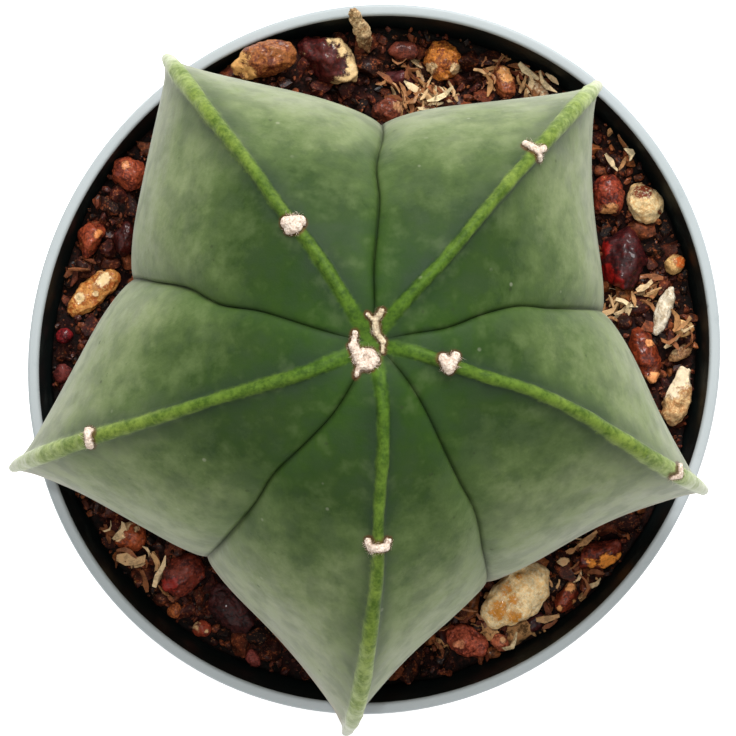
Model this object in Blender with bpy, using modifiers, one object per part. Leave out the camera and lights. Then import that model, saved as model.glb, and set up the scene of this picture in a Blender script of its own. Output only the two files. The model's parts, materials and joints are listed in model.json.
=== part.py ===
"""A five-ribbed bishop's cap cactus in a small round nursery pot, with stones lying in its soil.

Sizes are in metres and +Z is up. The origin is the middle of the pot's flat base, which rests on z = 0.
"""

import math
import random
from typing import NamedTuple

import bmesh
import bpy
from mathutils import Matrix, Vector, noise

MM = 0.001
GAP = 0.3 * MM
SEAT_GAP = 0.36 * MM
MERGE = 0.01 * MM

# The pot: a thin turned wall with a collar below its rim. It is round at the floor and a little
# squeezed at the rim, where its long axis has the heading below.
POT_HEIGHT = 62.0 * MM
RIM_RADIUS = 35.1 * MM
RIM_WIDTH = 1.1 * MM
RIM_ROUNDING = 0.35 * MM
COLLAR_DEPTH = 11.0 * MM
COLLAR_TAPER = 0.4 * MM
COLLAR_STEP = 1.2 * MM
BASE_RADIUS = 25.2 * MM
BASE_ROUNDING = 0.8 * MM
INNER_BASE_RADIUS = 24.4 * MM
FLOOR = 1.4 * MM
SQUEEZE = 0.021
SQUEEZE_HEADING = math.radians(63)
POT_STEPS = 48
DRAIN_COUNT = 6
DRAIN_RADIUS = 2.75 * MM
DRAIN_CIRCLE = 18.0 * MM

# The soil: a plug that fills the pot to below its rim, with a lumpy top and grit grown into it. It lies
# highest at the left and right walls and lowest at the front one.
SOIL_LEVEL = 56.5 * MM
SOIL_SIDE_RISE = 0.9 * MM
SOIL_BACK_RISE = 0.5 * MM
LUMP_HEIGHT = 1.1 * MM
LUMP_SIZE = 4.5 * MM
SOIL_RINGS = (0.0, 0.34, 0.56, 0.68, 0.77, 0.85, 0.92, 1.0)
GRIT_COUNT = 40
GRIT_RADIUS = (0.7 * MM, 1.3 * MM)
GRIT_BAND = (21.0 * MM, 31.2 * MM)

# The cactus: ribs and creases are named by their headings in degrees, at the widest level, at the
# shoulder and at the crown, because each of them turns a little on its way up.
WIDEST_LEVEL = 71.0 * MM
DOME_HEIGHT = 28.5 * MM
BELLY_DEPTH = 22.5 * MM
BELLY_TAPER = 23.0 * MM
BELLY_CURVE = 1.15
BELLY_CLOSING = 8
BELLY_RIBBED = 0.7
ROOT_LENGTH = 8.0 * MM
ROOT_SHARE = 0.10
BELLY_SHARE = 0.78
PLANT_CENTRE = Vector((-0.7, -0.5)) * MM
CROWN_CENTRE = Vector((-0.25, 1.4)) * MM
CROWN = math.radians(88)
LINE_LATITUDES = (0, 30, 45, 55, 65, 75, 88)
FLANK_STATIONS = (0.0, 0.08, 0.24, 0.46, 0.72, 0.92, 0.985)
PLANT_RINGS = 26
PILLOW = 0.4
PILLOW_HEIGHT = math.radians(50)
CREST_FADE = math.radians(20)
RIDGE_RISE = 0.5 * MM
RIDGE_SHOULDER = 0.85
BEAK_RISE = 0.5 * MM
BEAK_SPREAD = math.radians(9)
CROWN_DIP = 1.2 * MM
CROWN_DIP_RADIUS = 3.0 * MM
WOOL_SINK = 0.25


class Crease(NamedTuple):
    """A crease between two ribs: its reach at the widest level, and its headings at the line latitudes."""

    reach: float
    headings: tuple


class Rib(NamedTuple):
    """A rib: its crest's reach and headings, and how straight its two flanks run out (0 to 1)."""

    reach: float
    headings: tuple
    straight_before: float
    straight_after: float


RIBS = (
    Rib(34.9 * MM, (50.3, 50.1, 50.0, 50.0, 49.7, 49.4, 55.0), 0.33, 0.57),
    Rib(35.3 * MM, (123.3, 124.0, 124.1, 123.6, 123.6, 121.2, 121.0), 0.60, 0.61),
    Rib(35.7 * MM, (196.4, 197.0, 197.6, 198.4, 199.2, 201.9, 208.0), 0.59, 0.50),
    Rib(35.6 * MM, (266.7, 268.9, 270.3, 271.8, 272.7, 276.9, 285.0), 0.43, 0.46),
    Rib(34.8 * MM, (339.3, 339.1, 340.5, 342.6, 344.3, 344.4, 350.0), 0.30, 0.60),
)
CREASES = (
    Crease(23.5 * MM, (11.8, 12.0, 13.1, 15.8, 15.3, 11.8, 16.0)),
    Crease(23.2 * MM, (86.9, 86.7, 88.3, 86.9, 87.4, 88.4, 84.0)),
    Crease(24.3 * MM, (160.3, 161.5, 161.6, 164.4, 163.2, 164.5, 168.0)),
    Crease(24.6 * MM, (230.3, 232.2, 233.2, 232.7, 236.4, 242.0, 246.0)),
    Crease(24.4 * MM, (298.6, 300.2, 303.2, 303.7, 305.9, 311.0, 320.0)),
)


class Tuft(NamedTuple):
    """A tuft of wool on a rib's crest: the rib, its height as an angle, and half its width and length."""

    rib: int
    latitude: float
    across: float
    along: float


CREST_WOOL = (
    Tuft(0, 47, 1.3 * MM, 0.8 * MM),
    Tuft(1, 68.3, 1.2 * MM, 1.0 * MM),
    Tuft(2, 40, 0.9 * MM, 0.6 * MM),
    Tuft(3, 59, 1.4 * MM, 0.7 * MM),
    Tuft(4, 78, 1.2 * MM, 1.1 * MM),
    Tuft(4, 27, 1.0 * MM, 0.6 * MM),
)


class CrownTuft(NamedTuple):
    """A tuft in the crown's dip: its place from the dip's middle and its half width, length and height."""

    x: float
    y: float
    across: float
    along: float
    height: float


CROWN_WOOL = (
    CrownTuft(-0.7 * MM, -1.4 * MM, 1.4 * MM, 1.5 * MM, 1.6 * MM),
    CrownTuft(0.6 * MM, 1.3 * MM, 0.8 * MM, 2.0 * MM, 1.2 * MM),
)


class Mound(NamedTuple):
    """A heap in the soil: where it is, its height and its radius."""

    x: float
    y: float
    height: float
    radius: float


MOUNDS = (
    Mound(-10.4 * MM, 28.6 * MM, 3.6 * MM, 4.6 * MM),
    Mound(0.0 * MM, 30.6 * MM, 2.0 * MM, 2.6 * MM),
    Mound(-27.0 * MM, 15.8 * MM, 1.3 * MM, 5.0 * MM),
)


class Stone(NamedTuple):
    """A loose stone or chip in millimetres and degrees.

    Its middle lies at a place on the ground plan, lifted above the soil there. Facets is how many flat
    faces are broken off it.
    """

    name: str
    place: tuple
    lift: float
    size: tuple
    heading: float
    pitch: float
    roll: float
    facets: int
    colour: tuple


TAN = (0.36, 0.19, 0.09)
CREAM = (0.66, 0.50, 0.32)
RUST = (0.24, 0.07, 0.03)
MAROON = (0.09, 0.02, 0.02)
ORANGE = (0.45, 0.18, 0.04)
BARK = (0.40, 0.28, 0.15)

STONES = (
    Stone("stone_tan", (-11.0, 29.8), 1.7, (7.0, 4.2, 3.2), 12, 4, 30, 3, TAN),
    Stone("stone_maroon_cream", (-4.4, 30.3), 1.4, (7.0, 4.7, 4.2), -30, 0, 8, 4, MAROON),
    Stone("chip_over_rim", (-1.3, 33.0), 4.1, (7.4, 1.7, 1.0), 115, 50, 0, 4, CREAM),
    Stone("stone_red_brown", (2.9, 31.2), 0.5, (3.4, 2.0, 1.8), 0, 0, 0, 2, RUST),
    Stone("stone_oval", (2.6, 28.4), 0.5, (3.8, 1.9, 1.8), 0, 0, 0, 0, MAROON),
    Stone("stone_orange", (7.0, 30.1), 0.8, (4.6, 3.8, 3.4), 100, 6, 0, 3, ORANGE),
    Stone("bark_flake", (5.6, 26.6), 0.2, (3.0, 1.6, 0.9), 12, 8, 14, 3, BARK),
    Stone("bark_block", (1.6, 25.2), 0.5, (3.8, 2.8, 2.0), 8, 0, 10, 4, RUST),
    Stone("stone_orange_brown", (13.2, 28.0), 0.6, (3.4, 2.4, 2.2), 110, 0, 0, 2, ORANGE),
    Stone("chip_cream_slanted", (16.6, 27.3), 0.3, (3.6, 1.7, 1.3), -55, 10, 0, 3, CREAM),
    Stone("stone_rust_right", (23.6, 16.6), 0.8, (4.4, 3.4, 3.0), 90, 0, 0, 3, RUST),
    Stone("stone_cream_round", (27.3, 15.7), 0.8, (4.5, 3.6, 3.2), 110, 0, 10, 1, CREAM),
    Stone("stone_dark_red", (25.3, 9.7), 1.0, (7.0, 4.8, 4.0), 90, 0, 0, 4, MAROON),
    Stone("chip_tan_twisted", (30.3, 9.6), 0.4, (2.4, 2.0, 1.6), 40, 0, 0, 3, TAN),
    Stone("chip_white_long", (29.2, 4.9), 0.7, (5.4, 1.7, 1.5), 72, 6, 0, 1, CREAM),
    Stone("chip_tan_three_sided", (31.2, 3.2), 0.3, (2.4, 2.0, 1.3), -25, 0, 0, 3, TAN),
    Stone("chip_brown", (31.0, 0.7), 0.3, (3.0, 1.3, 1.3), 32, 0, 0, 3, TAN),
    Stone("stone_glossy_red", (27.3, 0.5), 0.7, (6.2, 2.7, 2.7), -70, 0, 0, 1, RUST),
    Stone("stone_cream_long", (30.7, -3.8), 0.7, (6.4, 2.9, 2.6), 76, 0, 0, 2, CREAM),
    Stone("stone_pale_large", (14.3, -23.6), 1.3, (8.8, 6.0, 4.6), 45, 0, -6, 3, CREAM),
    Stone("stone_brick", (9.5, -28.7), 0.7, (5.0, 3.3, 2.8), -42, 0, 0, 4, RUST),
    Stone("chip_brick", (12.7, -28.6), 0.4, (2.2, 1.7, 1.5), -40, 0, 0, 3, RUST),
    Stone("stone_maroon_small", (16.3, -26.6), 0.4, (2.4, 1.9, 1.6), 50, 0, 0, 2, MAROON),
    Stone("chip_orange_brown", (19.5, -24.0), 0.6, (3.6, 2.3, 2.4), 60, 0, 0, 3, ORANGE),
    Stone("stone_orange_red", (22.9, -19.6), 0.7, (5.2, 3.0, 2.8), 26, 0, 0, 3, ORANGE),
    Stone("chip_tan_white", (-24.7, -17.9), 0.6, (3.6, 3.1, 2.4), 20, 0, 0, 4, TAN),
    Stone("stone_red_large", (-19.3, -21.7), 0.8, (5.2, 4.1, 3.4), 40, 0, 0, 4, RUST),
    Stone("stone_rust_round", (-24.7, 18.6), 1.1, (3.7, 3.5, 3.2), 0, 0, 0, 1, RUST),
    Stone("stone_rust_left", (-28.6, 12.2), 0.9, (4.2, 2.7, 2.8), 65, 0, 0, 3, RUST),
    Stone("stone_dark_left", (-25.1, 12.1), 0.6, (3.8, 2.2, 2.4), 90, 0, 0, 1, MAROON),
    Stone("stone_yellow", (-28.3, 6.9), 0.7, (6.6, 3.0, 2.8), 42, 0, 0, 3, CREAM),
    Stone("grain_crimson", (-31.3, 2.4), 0.4, (1.9, 1.7, 1.6), 20, 0, 0, 1, MAROON),
    Stone("grain_red_left", (-31.5, -1.4), 0.5, (2.3, 1.9, 1.8), 70, 0, 0, 2, RUST),
    Stone("stone_dark_slab", (-14.6, -25.2), 0.7, (6.0, 4.2, 2.6), -45, 0, 0, 4, MAROON),
    Stone("grain_cream_rimmed", (-17.4, -27.3), 0.4, (2.1, 1.8, 1.6), 10, 0, 0, 2, RUST),
    Stone("grain_red_low", (-12.3, -30.2), 0.3, (2.3, 1.4, 1.4), -60, 0, 0, 2, RUST),
    Stone("grain_ochre", (-20.2, -25.5), 0.3, (1.8, 1.5, 1.4), 80, 0, 0, 2, ORANGE),
)
STONE_ROUGHNESS = 0.14
BREAK_DISTANCE = (0.62, 0.85)
BREAK_FLATNESS = 0.9


def clear_scene():
    """Remove every object that the new file starts with."""
    for item in list(bpy.data.objects):
        bpy.data.objects.remove(item, do_unlink=True)


def new_collection(name):
    """Make a collection under the scene's own and return it."""
    collection = bpy.data.collections.new(name)
    bpy.context.scene.collection.children.link(collection)
    return collection


def material(name, colour, roughness):
    """Return a plain material of one colour and roughness."""
    made = bpy.data.materials.new(name)
    made.use_nodes = True
    shader = made.node_tree.nodes["Principled BSDF"]
    shader.inputs["Base Color"].default_value = (*colour, 1.0)
    shader.inputs["Roughness"].default_value = roughness
    shader.inputs["Metallic"].default_value = 0.0
    return made


def object_from_bmesh(name, built, collection, finish=None):
    """Turn a bmesh into a smooth object in a collection and return it."""
    bmesh.ops.recalc_face_normals(built, faces=built.faces)
    mesh = bpy.data.meshes.new(name)
    built.to_mesh(mesh)
    built.free()
    mesh.shade_smooth()
    made = bpy.data.objects.new(name, mesh)
    collection.objects.link(made)
    if finish:
        mesh.materials.append(finish)
    return made


def as_cutter(item):
    """Mark an object as one that only cuts others."""
    item.hide_render = True
    item.display_type = "WIRE"
    return item


def apply_modifiers(item):
    """Replace an object's mesh by the one that its modifiers make of it."""
    graph = bpy.context.evaluated_depsgraph_get()
    result = bpy.data.meshes.new_from_object(item.evaluated_get(graph))
    item.modifiers.clear()
    item.data = result


def boolean(item, operation, operand, solver="EXACT"):
    """Join a collection to an object, or cut it away, and apply the result."""
    modifier = item.modifiers.new(operation.lower(), "BOOLEAN")
    modifier.operation = operation
    modifier.solver = solver
    modifier.operand_type = "COLLECTION"
    modifier.collection = operand
    apply_modifiers(item)


def empty_collection(collection):
    """Remove a collection with all that it holds."""
    for item in list(collection.objects):
        bpy.data.objects.remove(item, do_unlink=True)
    bpy.data.collections.remove(collection)


def keep_largest_body(item):
    """Drop the loose scraps that a cut leaves beside the main body."""
    built = bmesh.new()
    built.from_mesh(item.data)
    waiting = set(built.verts)
    bodies = []
    while waiting:
        front = [waiting.pop()]
        body = set(front)
        while front:
            corner = front.pop()
            for edge in corner.link_edges:
                other = edge.other_vert(corner)
                if other in waiting:
                    waiting.discard(other)
                    body.add(other)
                    front.append(other)
        bodies.append(body)
    largest = max(bodies, key=len)
    scraps = [corner for corner in built.verts if corner not in largest]
    bmesh.ops.delete(built, geom=scraps, context="VERTS")
    built.to_mesh(item.data)
    built.free()


def turned(name, profile, steps, collection, finish):
    """Turn a profile about the Z axis into a closed solid and return it with its turning applied."""
    mesh = bpy.data.meshes.new(name)
    corners = [(x, 0.0, z) for x, z in profile]
    mesh.from_pydata(corners, [(i, i + 1) for i in range(len(corners) - 1)], [])
    made = bpy.data.objects.new(name, mesh)
    collection.objects.link(made)
    screw = made.modifiers.new("turn", "SCREW")
    screw.steps = steps
    screw.render_steps = steps
    screw.use_merge_vertices = True
    screw.merge_threshold = MERGE
    apply_modifiers(made)
    made.data.materials.append(finish)
    return made


def squeezed(point):
    """Return a point of the pot moved by the squeeze, which grows from nothing at the floor to the rim."""
    share = SQUEEZE * point.z / POT_HEIGHT
    turn = Matrix.Rotation(SQUEEZE_HEADING, 3, "Z")
    local = turn.transposed() @ point
    return turn @ Vector((local.x * (1 + share), local.y * (1 - share), local.z))


def squeeze_mesh(item):
    """Squeeze every corner of an object."""
    for corner in item.data.vertices:
        corner.co = squeezed(corner.co)


def inner_radius(height):
    """Return the radius of the pot's inner wall at a height, before the squeeze."""
    top = POT_HEIGHT - RIM_ROUNDING
    low = 2 * FLOOR
    slope = (RIM_RADIUS - RIM_WIDTH - INNER_BASE_RADIUS) / (top - low)
    return RIM_RADIUS - RIM_WIDTH - slope * (top - height)


def pot_profile():
    """Return the pot's section: along the floor, up the inside, over the rim and down the outside."""
    top = POT_HEIGHT
    rounding = RIM_ROUNDING
    inside = RIM_RADIUS - RIM_WIDTH
    collar_foot = top - COLLAR_DEPTH
    wall_top = RIM_RADIUS - COLLAR_TAPER - COLLAR_STEP
    return (
        (0.0, FLOOR),
        (INNER_BASE_RADIUS - FLOOR, FLOOR),
        (INNER_BASE_RADIUS, 2 * FLOOR),
        (inside, top - rounding),
        (inside + rounding, top),
        (RIM_RADIUS - rounding, top),
        (RIM_RADIUS, top - rounding),
        (RIM_RADIUS - COLLAR_TAPER, collar_foot),
        (wall_top, collar_foot - 0.5 * COLLAR_STEP),
        (BASE_RADIUS + 0.5 * BASE_ROUNDING, BASE_ROUNDING),
        (BASE_RADIUS - 0.5 * BASE_ROUNDING, 0.0),
        (0.0, 0.0),
    )


def make_pot(collection, cutters):
    """Make the pot with its drain holes."""
    pot = turned("pot", pot_profile(), POT_STEPS, collection, material("pot", (0.51, 0.59, 0.62), 0.45))
    squeeze_mesh(pot)
    drains = bpy.data.collections.new("drains")
    cutters.children.link(drains)
    for number in range(DRAIN_COUNT):
        turn = 2 * math.pi * (number + 0.5) / DRAIN_COUNT
        place = Matrix.Translation((DRAIN_CIRCLE * math.cos(turn), DRAIN_CIRCLE * math.sin(turn), 0.0))
        drill = bmesh.new()
        bmesh.ops.create_cone(
            drill,
            cap_ends=True,
            segments=12,
            radius1=DRAIN_RADIUS,
            radius2=DRAIN_RADIUS,
            depth=6 * FLOOR,
            matrix=place,
        )
        as_cutter(object_from_bmesh(f"drain_{number}", drill, drains))
    boolean(pot, "DIFFERENCE", drains)
    empty_collection(drains)
    pot.data.set_sharp_from_angle(angle=math.radians(40))
    return pot


def smooth(value):
    """Return 0 below 0, 1 above 1 and a smooth rise between them."""
    value = min(max(value, 0.0), 1.0)
    return value * value * (3 - 2 * value)


def heading(line, latitude):
    """Return the heading of a crest or crease at a latitude, on a smooth curve through its headings."""
    at, values = LINE_LATITUDES, line.headings
    here = min(max(math.degrees(latitude), at[0]), at[-1])
    after = next(number for number in range(1, len(at)) if here <= at[number])
    first = after - 1
    before_first, after_last = max(first - 1, 0), min(after + 1, len(at) - 1)
    slope_first = (values[after] - values[before_first]) / (at[after] - at[before_first])
    slope_last = (values[after_last] - values[first]) / (at[after_last] - at[first])
    length = at[after] - at[first]
    part = (here - at[first]) / length
    eased = part * part * (3 - 2 * part)
    bend = part * (1 - part) * length * ((1 - part) * slope_first - part * slope_last)
    return math.radians(values[first] + (values[after] - values[first]) * eased + bend)


def ring_at(latitude):
    """Return a ring's height, its share of the full width, and how much it is still ribbed."""
    if latitude >= 0:
        return WIDEST_LEVEL + DOME_HEIGHT * math.sin(latitude), math.cos(latitude), 1.0
    down = -latitude / (math.pi / 2)
    if down <= BELLY_SHARE:
        drop = BELLY_DEPTH * (down / BELLY_SHARE) ** BELLY_CURVE
        closing = 1 - (drop / (BELLY_DEPTH * 1.02)) ** BELLY_CLOSING
        width = closing / (1 + (drop / BELLY_TAPER) ** 2)
        ribbed = 1 - smooth((down / BELLY_SHARE - BELLY_RIBBED) / (1 - BELLY_RIBBED))
        return WIDEST_LEVEL - drop, max(width, ROOT_SHARE), ribbed
    root = (down - BELLY_SHARE) / (1 - BELLY_SHARE)
    height = WIDEST_LEVEL - BELLY_DEPTH - ROOT_LENGTH * root
    return height, ROOT_SHARE * math.sqrt(1 - root * root), 0.0


def plant_centre(latitude):
    """Return the middle of a ring, which leans towards the crown's own middle above the widest level."""
    return PLANT_CENTRE.lerp(CROWN_CENTRE, max(math.sin(latitude), 0.0))


def flank(share, straight, latitude):
    """Return how far out a flank lies between its crease (0) and its crest (1)."""
    plain = straight * share + (1 - straight) * share**4
    pillow = PILLOW * smooth(latitude / PILLOW_HEIGHT) * math.sqrt(share) * (1 - share)
    return plain + pillow


def plant_point(rib_number, side, share, latitude):
    """Return a point of the plant's skin on one side (-1 or 1) of a rib."""
    rib = RIBS[rib_number]
    crease = CREASES[(rib_number + (side + 1) // 2) % len(CREASES)]
    straight = rib.straight_after if side > 0 else rib.straight_before
    height, width, ribbed = ring_at(latitude)
    crest_heading = heading(rib, latitude)
    crease_heading = heading(crease, latitude)
    if side > 0 and crease_heading < crest_heading:
        crease_heading += 2 * math.pi
    direction = crease_heading + (crest_heading - crease_heading) * share
    reach = crease.reach + (rib.reach - crease.reach) * flank(share, straight, latitude)
    plain = 0.5 * (crease.reach + rib.reach)
    radius = width * (plain + (reach - plain) * ribbed)
    height -= CROWN_DIP * math.exp(-((radius / CROWN_DIP_RADIUS) ** 2)) if latitude > 0 else 0.0
    centre = plant_centre(latitude)
    out = Vector((math.cos(direction), math.sin(direction)))
    point = Vector((centre.x + radius * out.x, centre.y + radius * out.y, height))
    if share >= FLANK_STATIONS[-1]:
        fade = ribbed * smooth((CROWN - latitude) / CREST_FADE)
        rise = RIDGE_RISE * fade + BEAK_RISE * math.exp(-((latitude / BEAK_SPREAD) ** 2))
        point += rise * (1.0 if share == 1.0 else RIDGE_SHOULDER) * skin_direction(out, latitude, rib.reach)
    return point


def skin_direction(out, latitude, reach):
    """Return which way the plant's skin faces at a crest."""
    if latitude < 0:
        return Vector((out.x, out.y, 0.0))
    flat = DOME_HEIGHT * math.cos(latitude)
    return Vector((flat * out.x, flat * out.y, reach * math.sin(latitude))).normalized()


def plant_body():
    """Return the ribbed body: a ball whose segments lie on the crests, creases and flanks."""
    half = len(FLANK_STATIONS)
    segments = 2 * half * len(RIBS)
    built = bmesh.new()
    bmesh.ops.create_uvsphere(built, u_segments=segments, v_segments=PLANT_RINGS, radius=1.0)
    for corner in built.verts:
        latitude = math.asin(max(-1.0, min(1.0, corner.co.z)))
        turn = math.atan2(corner.co.y, corner.co.x)
        number = round(turn / (2 * math.pi) * segments) % segments
        rib_number, step = divmod(number, 2 * half)
        if abs(corner.co.z) > 0.9999:
            height = ring_at(latitude)[0] - (CROWN_DIP if latitude > 0 else 0.0)
            centre = plant_centre(latitude)
            corner.co = Vector((centre.x, centre.y, height))
        elif step <= half:
            share = 1.0 if step == half else FLANK_STATIONS[step]
            corner.co = plant_point(rib_number, -1, share, latitude)
        else:
            corner.co = plant_point(rib_number, 1, FLANK_STATIONS[2 * half - step], latitude)
    return built


def make_crest_tuft(tuft, name, collection):
    """Make one woolly tuft, sunk into the crest that it grows from."""
    latitude = math.radians(tuft.latitude)
    rib = RIBS[tuft.rib]
    direction = heading(rib, latitude)
    out = Vector((math.cos(direction), math.sin(direction)))
    up = skin_direction(out, latitude, rib.reach)
    across = Vector((-out.y, out.x, 0.0))
    along = across.cross(up)
    thickness = 0.6 * tuft.along
    seat = plant_point(tuft.rib, 1, 1.0, latitude) - WOOL_SINK * thickness * up
    axes = Matrix((across * tuft.across, along * tuft.along, up * thickness)).transposed().to_4x4()
    built = bmesh.new()
    bmesh.ops.create_icosphere(built, subdivisions=2, radius=1.0, matrix=Matrix.Translation(seat) @ axes)
    return object_from_bmesh(name, built, collection)


def make_crown_tuft(tuft, name, collection):
    """Make one tuft of the young wool that fills the crown's dip."""
    away = math.hypot(tuft.x, tuft.y) / CROWN_DIP_RADIUS
    seat = WIDEST_LEVEL + DOME_HEIGHT - CROWN_DIP * math.exp(-(away**2))
    middle = Vector((CROWN_CENTRE.x + tuft.x, CROWN_CENTRE.y + tuft.y, seat))
    place = Matrix.Translation(middle) @ Matrix.Diagonal((tuft.across, tuft.along, tuft.height, 1.0))
    built = bmesh.new()
    bmesh.ops.create_icosphere(built, subdivisions=2, radius=1.0, matrix=place)
    return object_from_bmesh(name, built, collection)


def make_cactus(collection, cutters):
    """Make the plant: its body with the wool joined to it."""
    finish = material("cactus", (0.13, 0.21, 0.09), 0.6)
    cactus = object_from_bmesh("cactus", plant_body(), collection, finish)
    wool = bpy.data.collections.new("wool")
    cutters.children.link(wool)
    for number, tuft in enumerate(CREST_WOOL):
        make_crest_tuft(tuft, f"crest_wool_{number}", wool)
    for number, tuft in enumerate(CROWN_WOOL):
        make_crown_tuft(tuft, f"crown_wool_{number}", wool)
    boolean(cactus, "UNION", wool)
    empty_collection(wool)
    return cactus


def ground(x, y):
    """Return the height of the soil's top before the stones press into it."""
    height = SOIL_LEVEL + LUMP_HEIGHT * noise.noise(Vector((x, y, 0.0)) / LUMP_SIZE)
    height += SOIL_SIDE_RISE * (x / RIM_RADIUS) ** 2 + SOIL_BACK_RISE * y / RIM_RADIUS
    for mound in MOUNDS:
        away = ((x - mound.x) ** 2 + (y - mound.y) ** 2) / mound.radius**2
        height += mound.height * math.exp(-away)
    return height


def broken_faces(count, draw):
    """Return the flat faces of a broken stone, each as a direction and a distance from its middle."""
    faces = []
    for _ in range(count):
        direction = Vector((draw.gauss(0, 1), draw.gauss(0, 1), draw.gauss(0, 1))).normalized()
        faces.append((direction, draw.uniform(*BREAK_DISTANCE)))
    return faces


def make_stone(stone, number, collection, finish):
    """Make one stone: a ball made uneven, with flat faces broken off it, in its own size and place."""
    draw = random.Random(number)
    faces = broken_faces(stone.facets, draw)
    drift = Vector((7.3, 1.9, 4.1)) * (number + 1)
    built = bmesh.new()
    bmesh.ops.create_icosphere(built, subdivisions=2, radius=1.0)
    for corner in built.verts:
        corner.co *= 1 + STONE_ROUGHNESS * noise.noise(corner.co * 1.4 + drift)
        for direction, distance in faces:
            beyond = corner.co.dot(direction) - distance
            corner.co -= max(beyond, 0.0) * BREAK_FLATNESS * direction
    half = Vector(stone.size) * (0.5 * MM)
    for corner in built.verts:
        corner.co = Vector((corner.co.x * half.x, corner.co.y * half.y, corner.co.z * half.z))
    turn = (
        Matrix.Rotation(math.radians(stone.heading), 4, "Z")
        @ Matrix.Rotation(math.radians(-stone.pitch), 4, "Y")
        @ Matrix.Rotation(math.radians(stone.roll), 4, "X")
    )
    made = object_from_bmesh(stone.name, built, collection, finish)
    made.data.transform(turn)
    x, y = Vector(stone.place) * MM
    made.location = (x, y, ground(x, y) + stone.lift * MM)
    return made


def grown_copy(item, name, gap, collection):
    """Return a copy of an object that is larger by a gap on every side, to cut a seat for it."""
    built = bmesh.new()
    built.from_mesh(item.data)
    built.transform(Matrix.Translation(item.location))
    built.normal_update()
    for corner in built.verts:
        corner.co += gap * corner.normal
    return as_cutter(object_from_bmesh(name, built, collection))


def soil_profile():
    """Return the soil's section: along its top, down its side and along its bottom."""
    low = FLOOR + GAP
    side = inner_radius(SOIL_LEVEL) - GAP
    top = [(side * share, SOIL_LEVEL) for share in SOIL_RINGS]
    foot = inner_radius(2 * FLOOR) - GAP
    return (*top, (foot, 2 * FLOOR + GAP), (foot - FLOOR, low), (0.0, low))


def shape_soil(soil):
    """Raise the lumps and heaps of the soil's top, and keep its edge beside the pot's wall."""
    edge = inner_radius(SOIL_LEVEL) - GAP
    for corner in soil.data.vertices:
        if corner.co.z > SOIL_LEVEL - MERGE:
            height = ground(corner.co.x, corner.co.y)
            share = (inner_radius(height) - GAP) / edge
            corner.co = Vector((corner.co.x * share, corner.co.y * share, height))


def add_grit(soil, cutters):
    """Join coarse grit to the soil's top, half sunk, round the plant."""
    draw = random.Random(11)
    grit = bpy.data.collections.new("grit")
    cutters.children.link(grit)
    for number in range(GRIT_COUNT):
        turn = 2 * math.pi * (number + draw.uniform(-0.3, 0.3)) / GRIT_COUNT
        away = draw.uniform(*GRIT_BAND)
        radius = draw.uniform(*GRIT_RADIUS)
        spot = Vector((away * math.cos(turn), away * math.sin(turn), 0.0))
        spot.z = ground(spot.x, spot.y) - 0.1 * radius
        tumble = Matrix.Rotation(draw.uniform(0, math.pi), 4, Vector((draw.random(), draw.random(), 1.0)))
        stretch = Matrix.Diagonal((draw.uniform(0.9, 1.4), 1.0, draw.uniform(0.7, 1.0), 1.0))
        grain = bmesh.new()
        place = Matrix.Translation(spot) @ tumble @ stretch
        bmesh.ops.create_icosphere(grain, subdivisions=1, radius=radius, matrix=place)
        object_from_bmesh(f"grit_{number}", grain, grit)
    boolean(soil, "UNION", grit, "MANIFOLD")
    empty_collection(grit)


def make_soil(cactus, stones, collection, cutters):
    """Make the soil with its grit, a hole for the plant and a seat for each stone."""
    finish = material("soil", (0.035, 0.02, 0.014), 0.95)
    soil = turned("soil", soil_profile(), POT_STEPS, collection, finish)
    shape_soil(soil)
    squeeze_mesh(soil)
    add_grit(soil, cutters)
    seats = bpy.data.collections.new("seats")
    cutters.children.link(seats)
    for item in (cactus, *stones):
        grown_copy(item, "seat_" + item.name, SEAT_GAP, seats)
    boolean(soil, "DIFFERENCE", seats, "MANIFOLD")
    empty_collection(seats)
    keep_largest_body(soil)
    return soil


def main():
    clear_scene()
    parts = new_collection("potted_bishops_cap_cactus")
    cutters = new_collection("cutters")
    make_pot(parts, cutters)
    cactus = make_cactus(parts, cutters)
    finishes = {}
    stones = []
    for number, stone in enumerate(STONES):
        if stone.colour not in finishes:
            finishes[stone.colour] = material(f"stone_{len(finishes)}", stone.colour, 0.6)
        stones.append(make_stone(stone, number, parts, finishes[stone.colour]))
    make_soil(cactus, stones, parts, cutters)
    bpy.data.collections.remove(cutters)


main()
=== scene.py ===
# %% [markdown]
# # A bishop's cap cactus in its nursery pot
#
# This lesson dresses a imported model. The model already holds every real piece at its real size: the pot,
# the soil, the plant and thirty-seven loose stones. Here each of them gets its fine surface and its
# finish, and the small things that are too fine for a solid are added: wool, crumbs, fibres and chips.
#
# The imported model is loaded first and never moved. Everything is in metres, +Z is up, and the origin is
# the middle of the pot's flat base. +X is to the right and +Y is up in the picture from straight above.

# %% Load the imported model
import json
import math
import random
from typing import NamedTuple

import bmesh
import bpy
from mathutils import Matrix, Vector, noise
from mathutils.bvhtree import BVHTree

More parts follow.
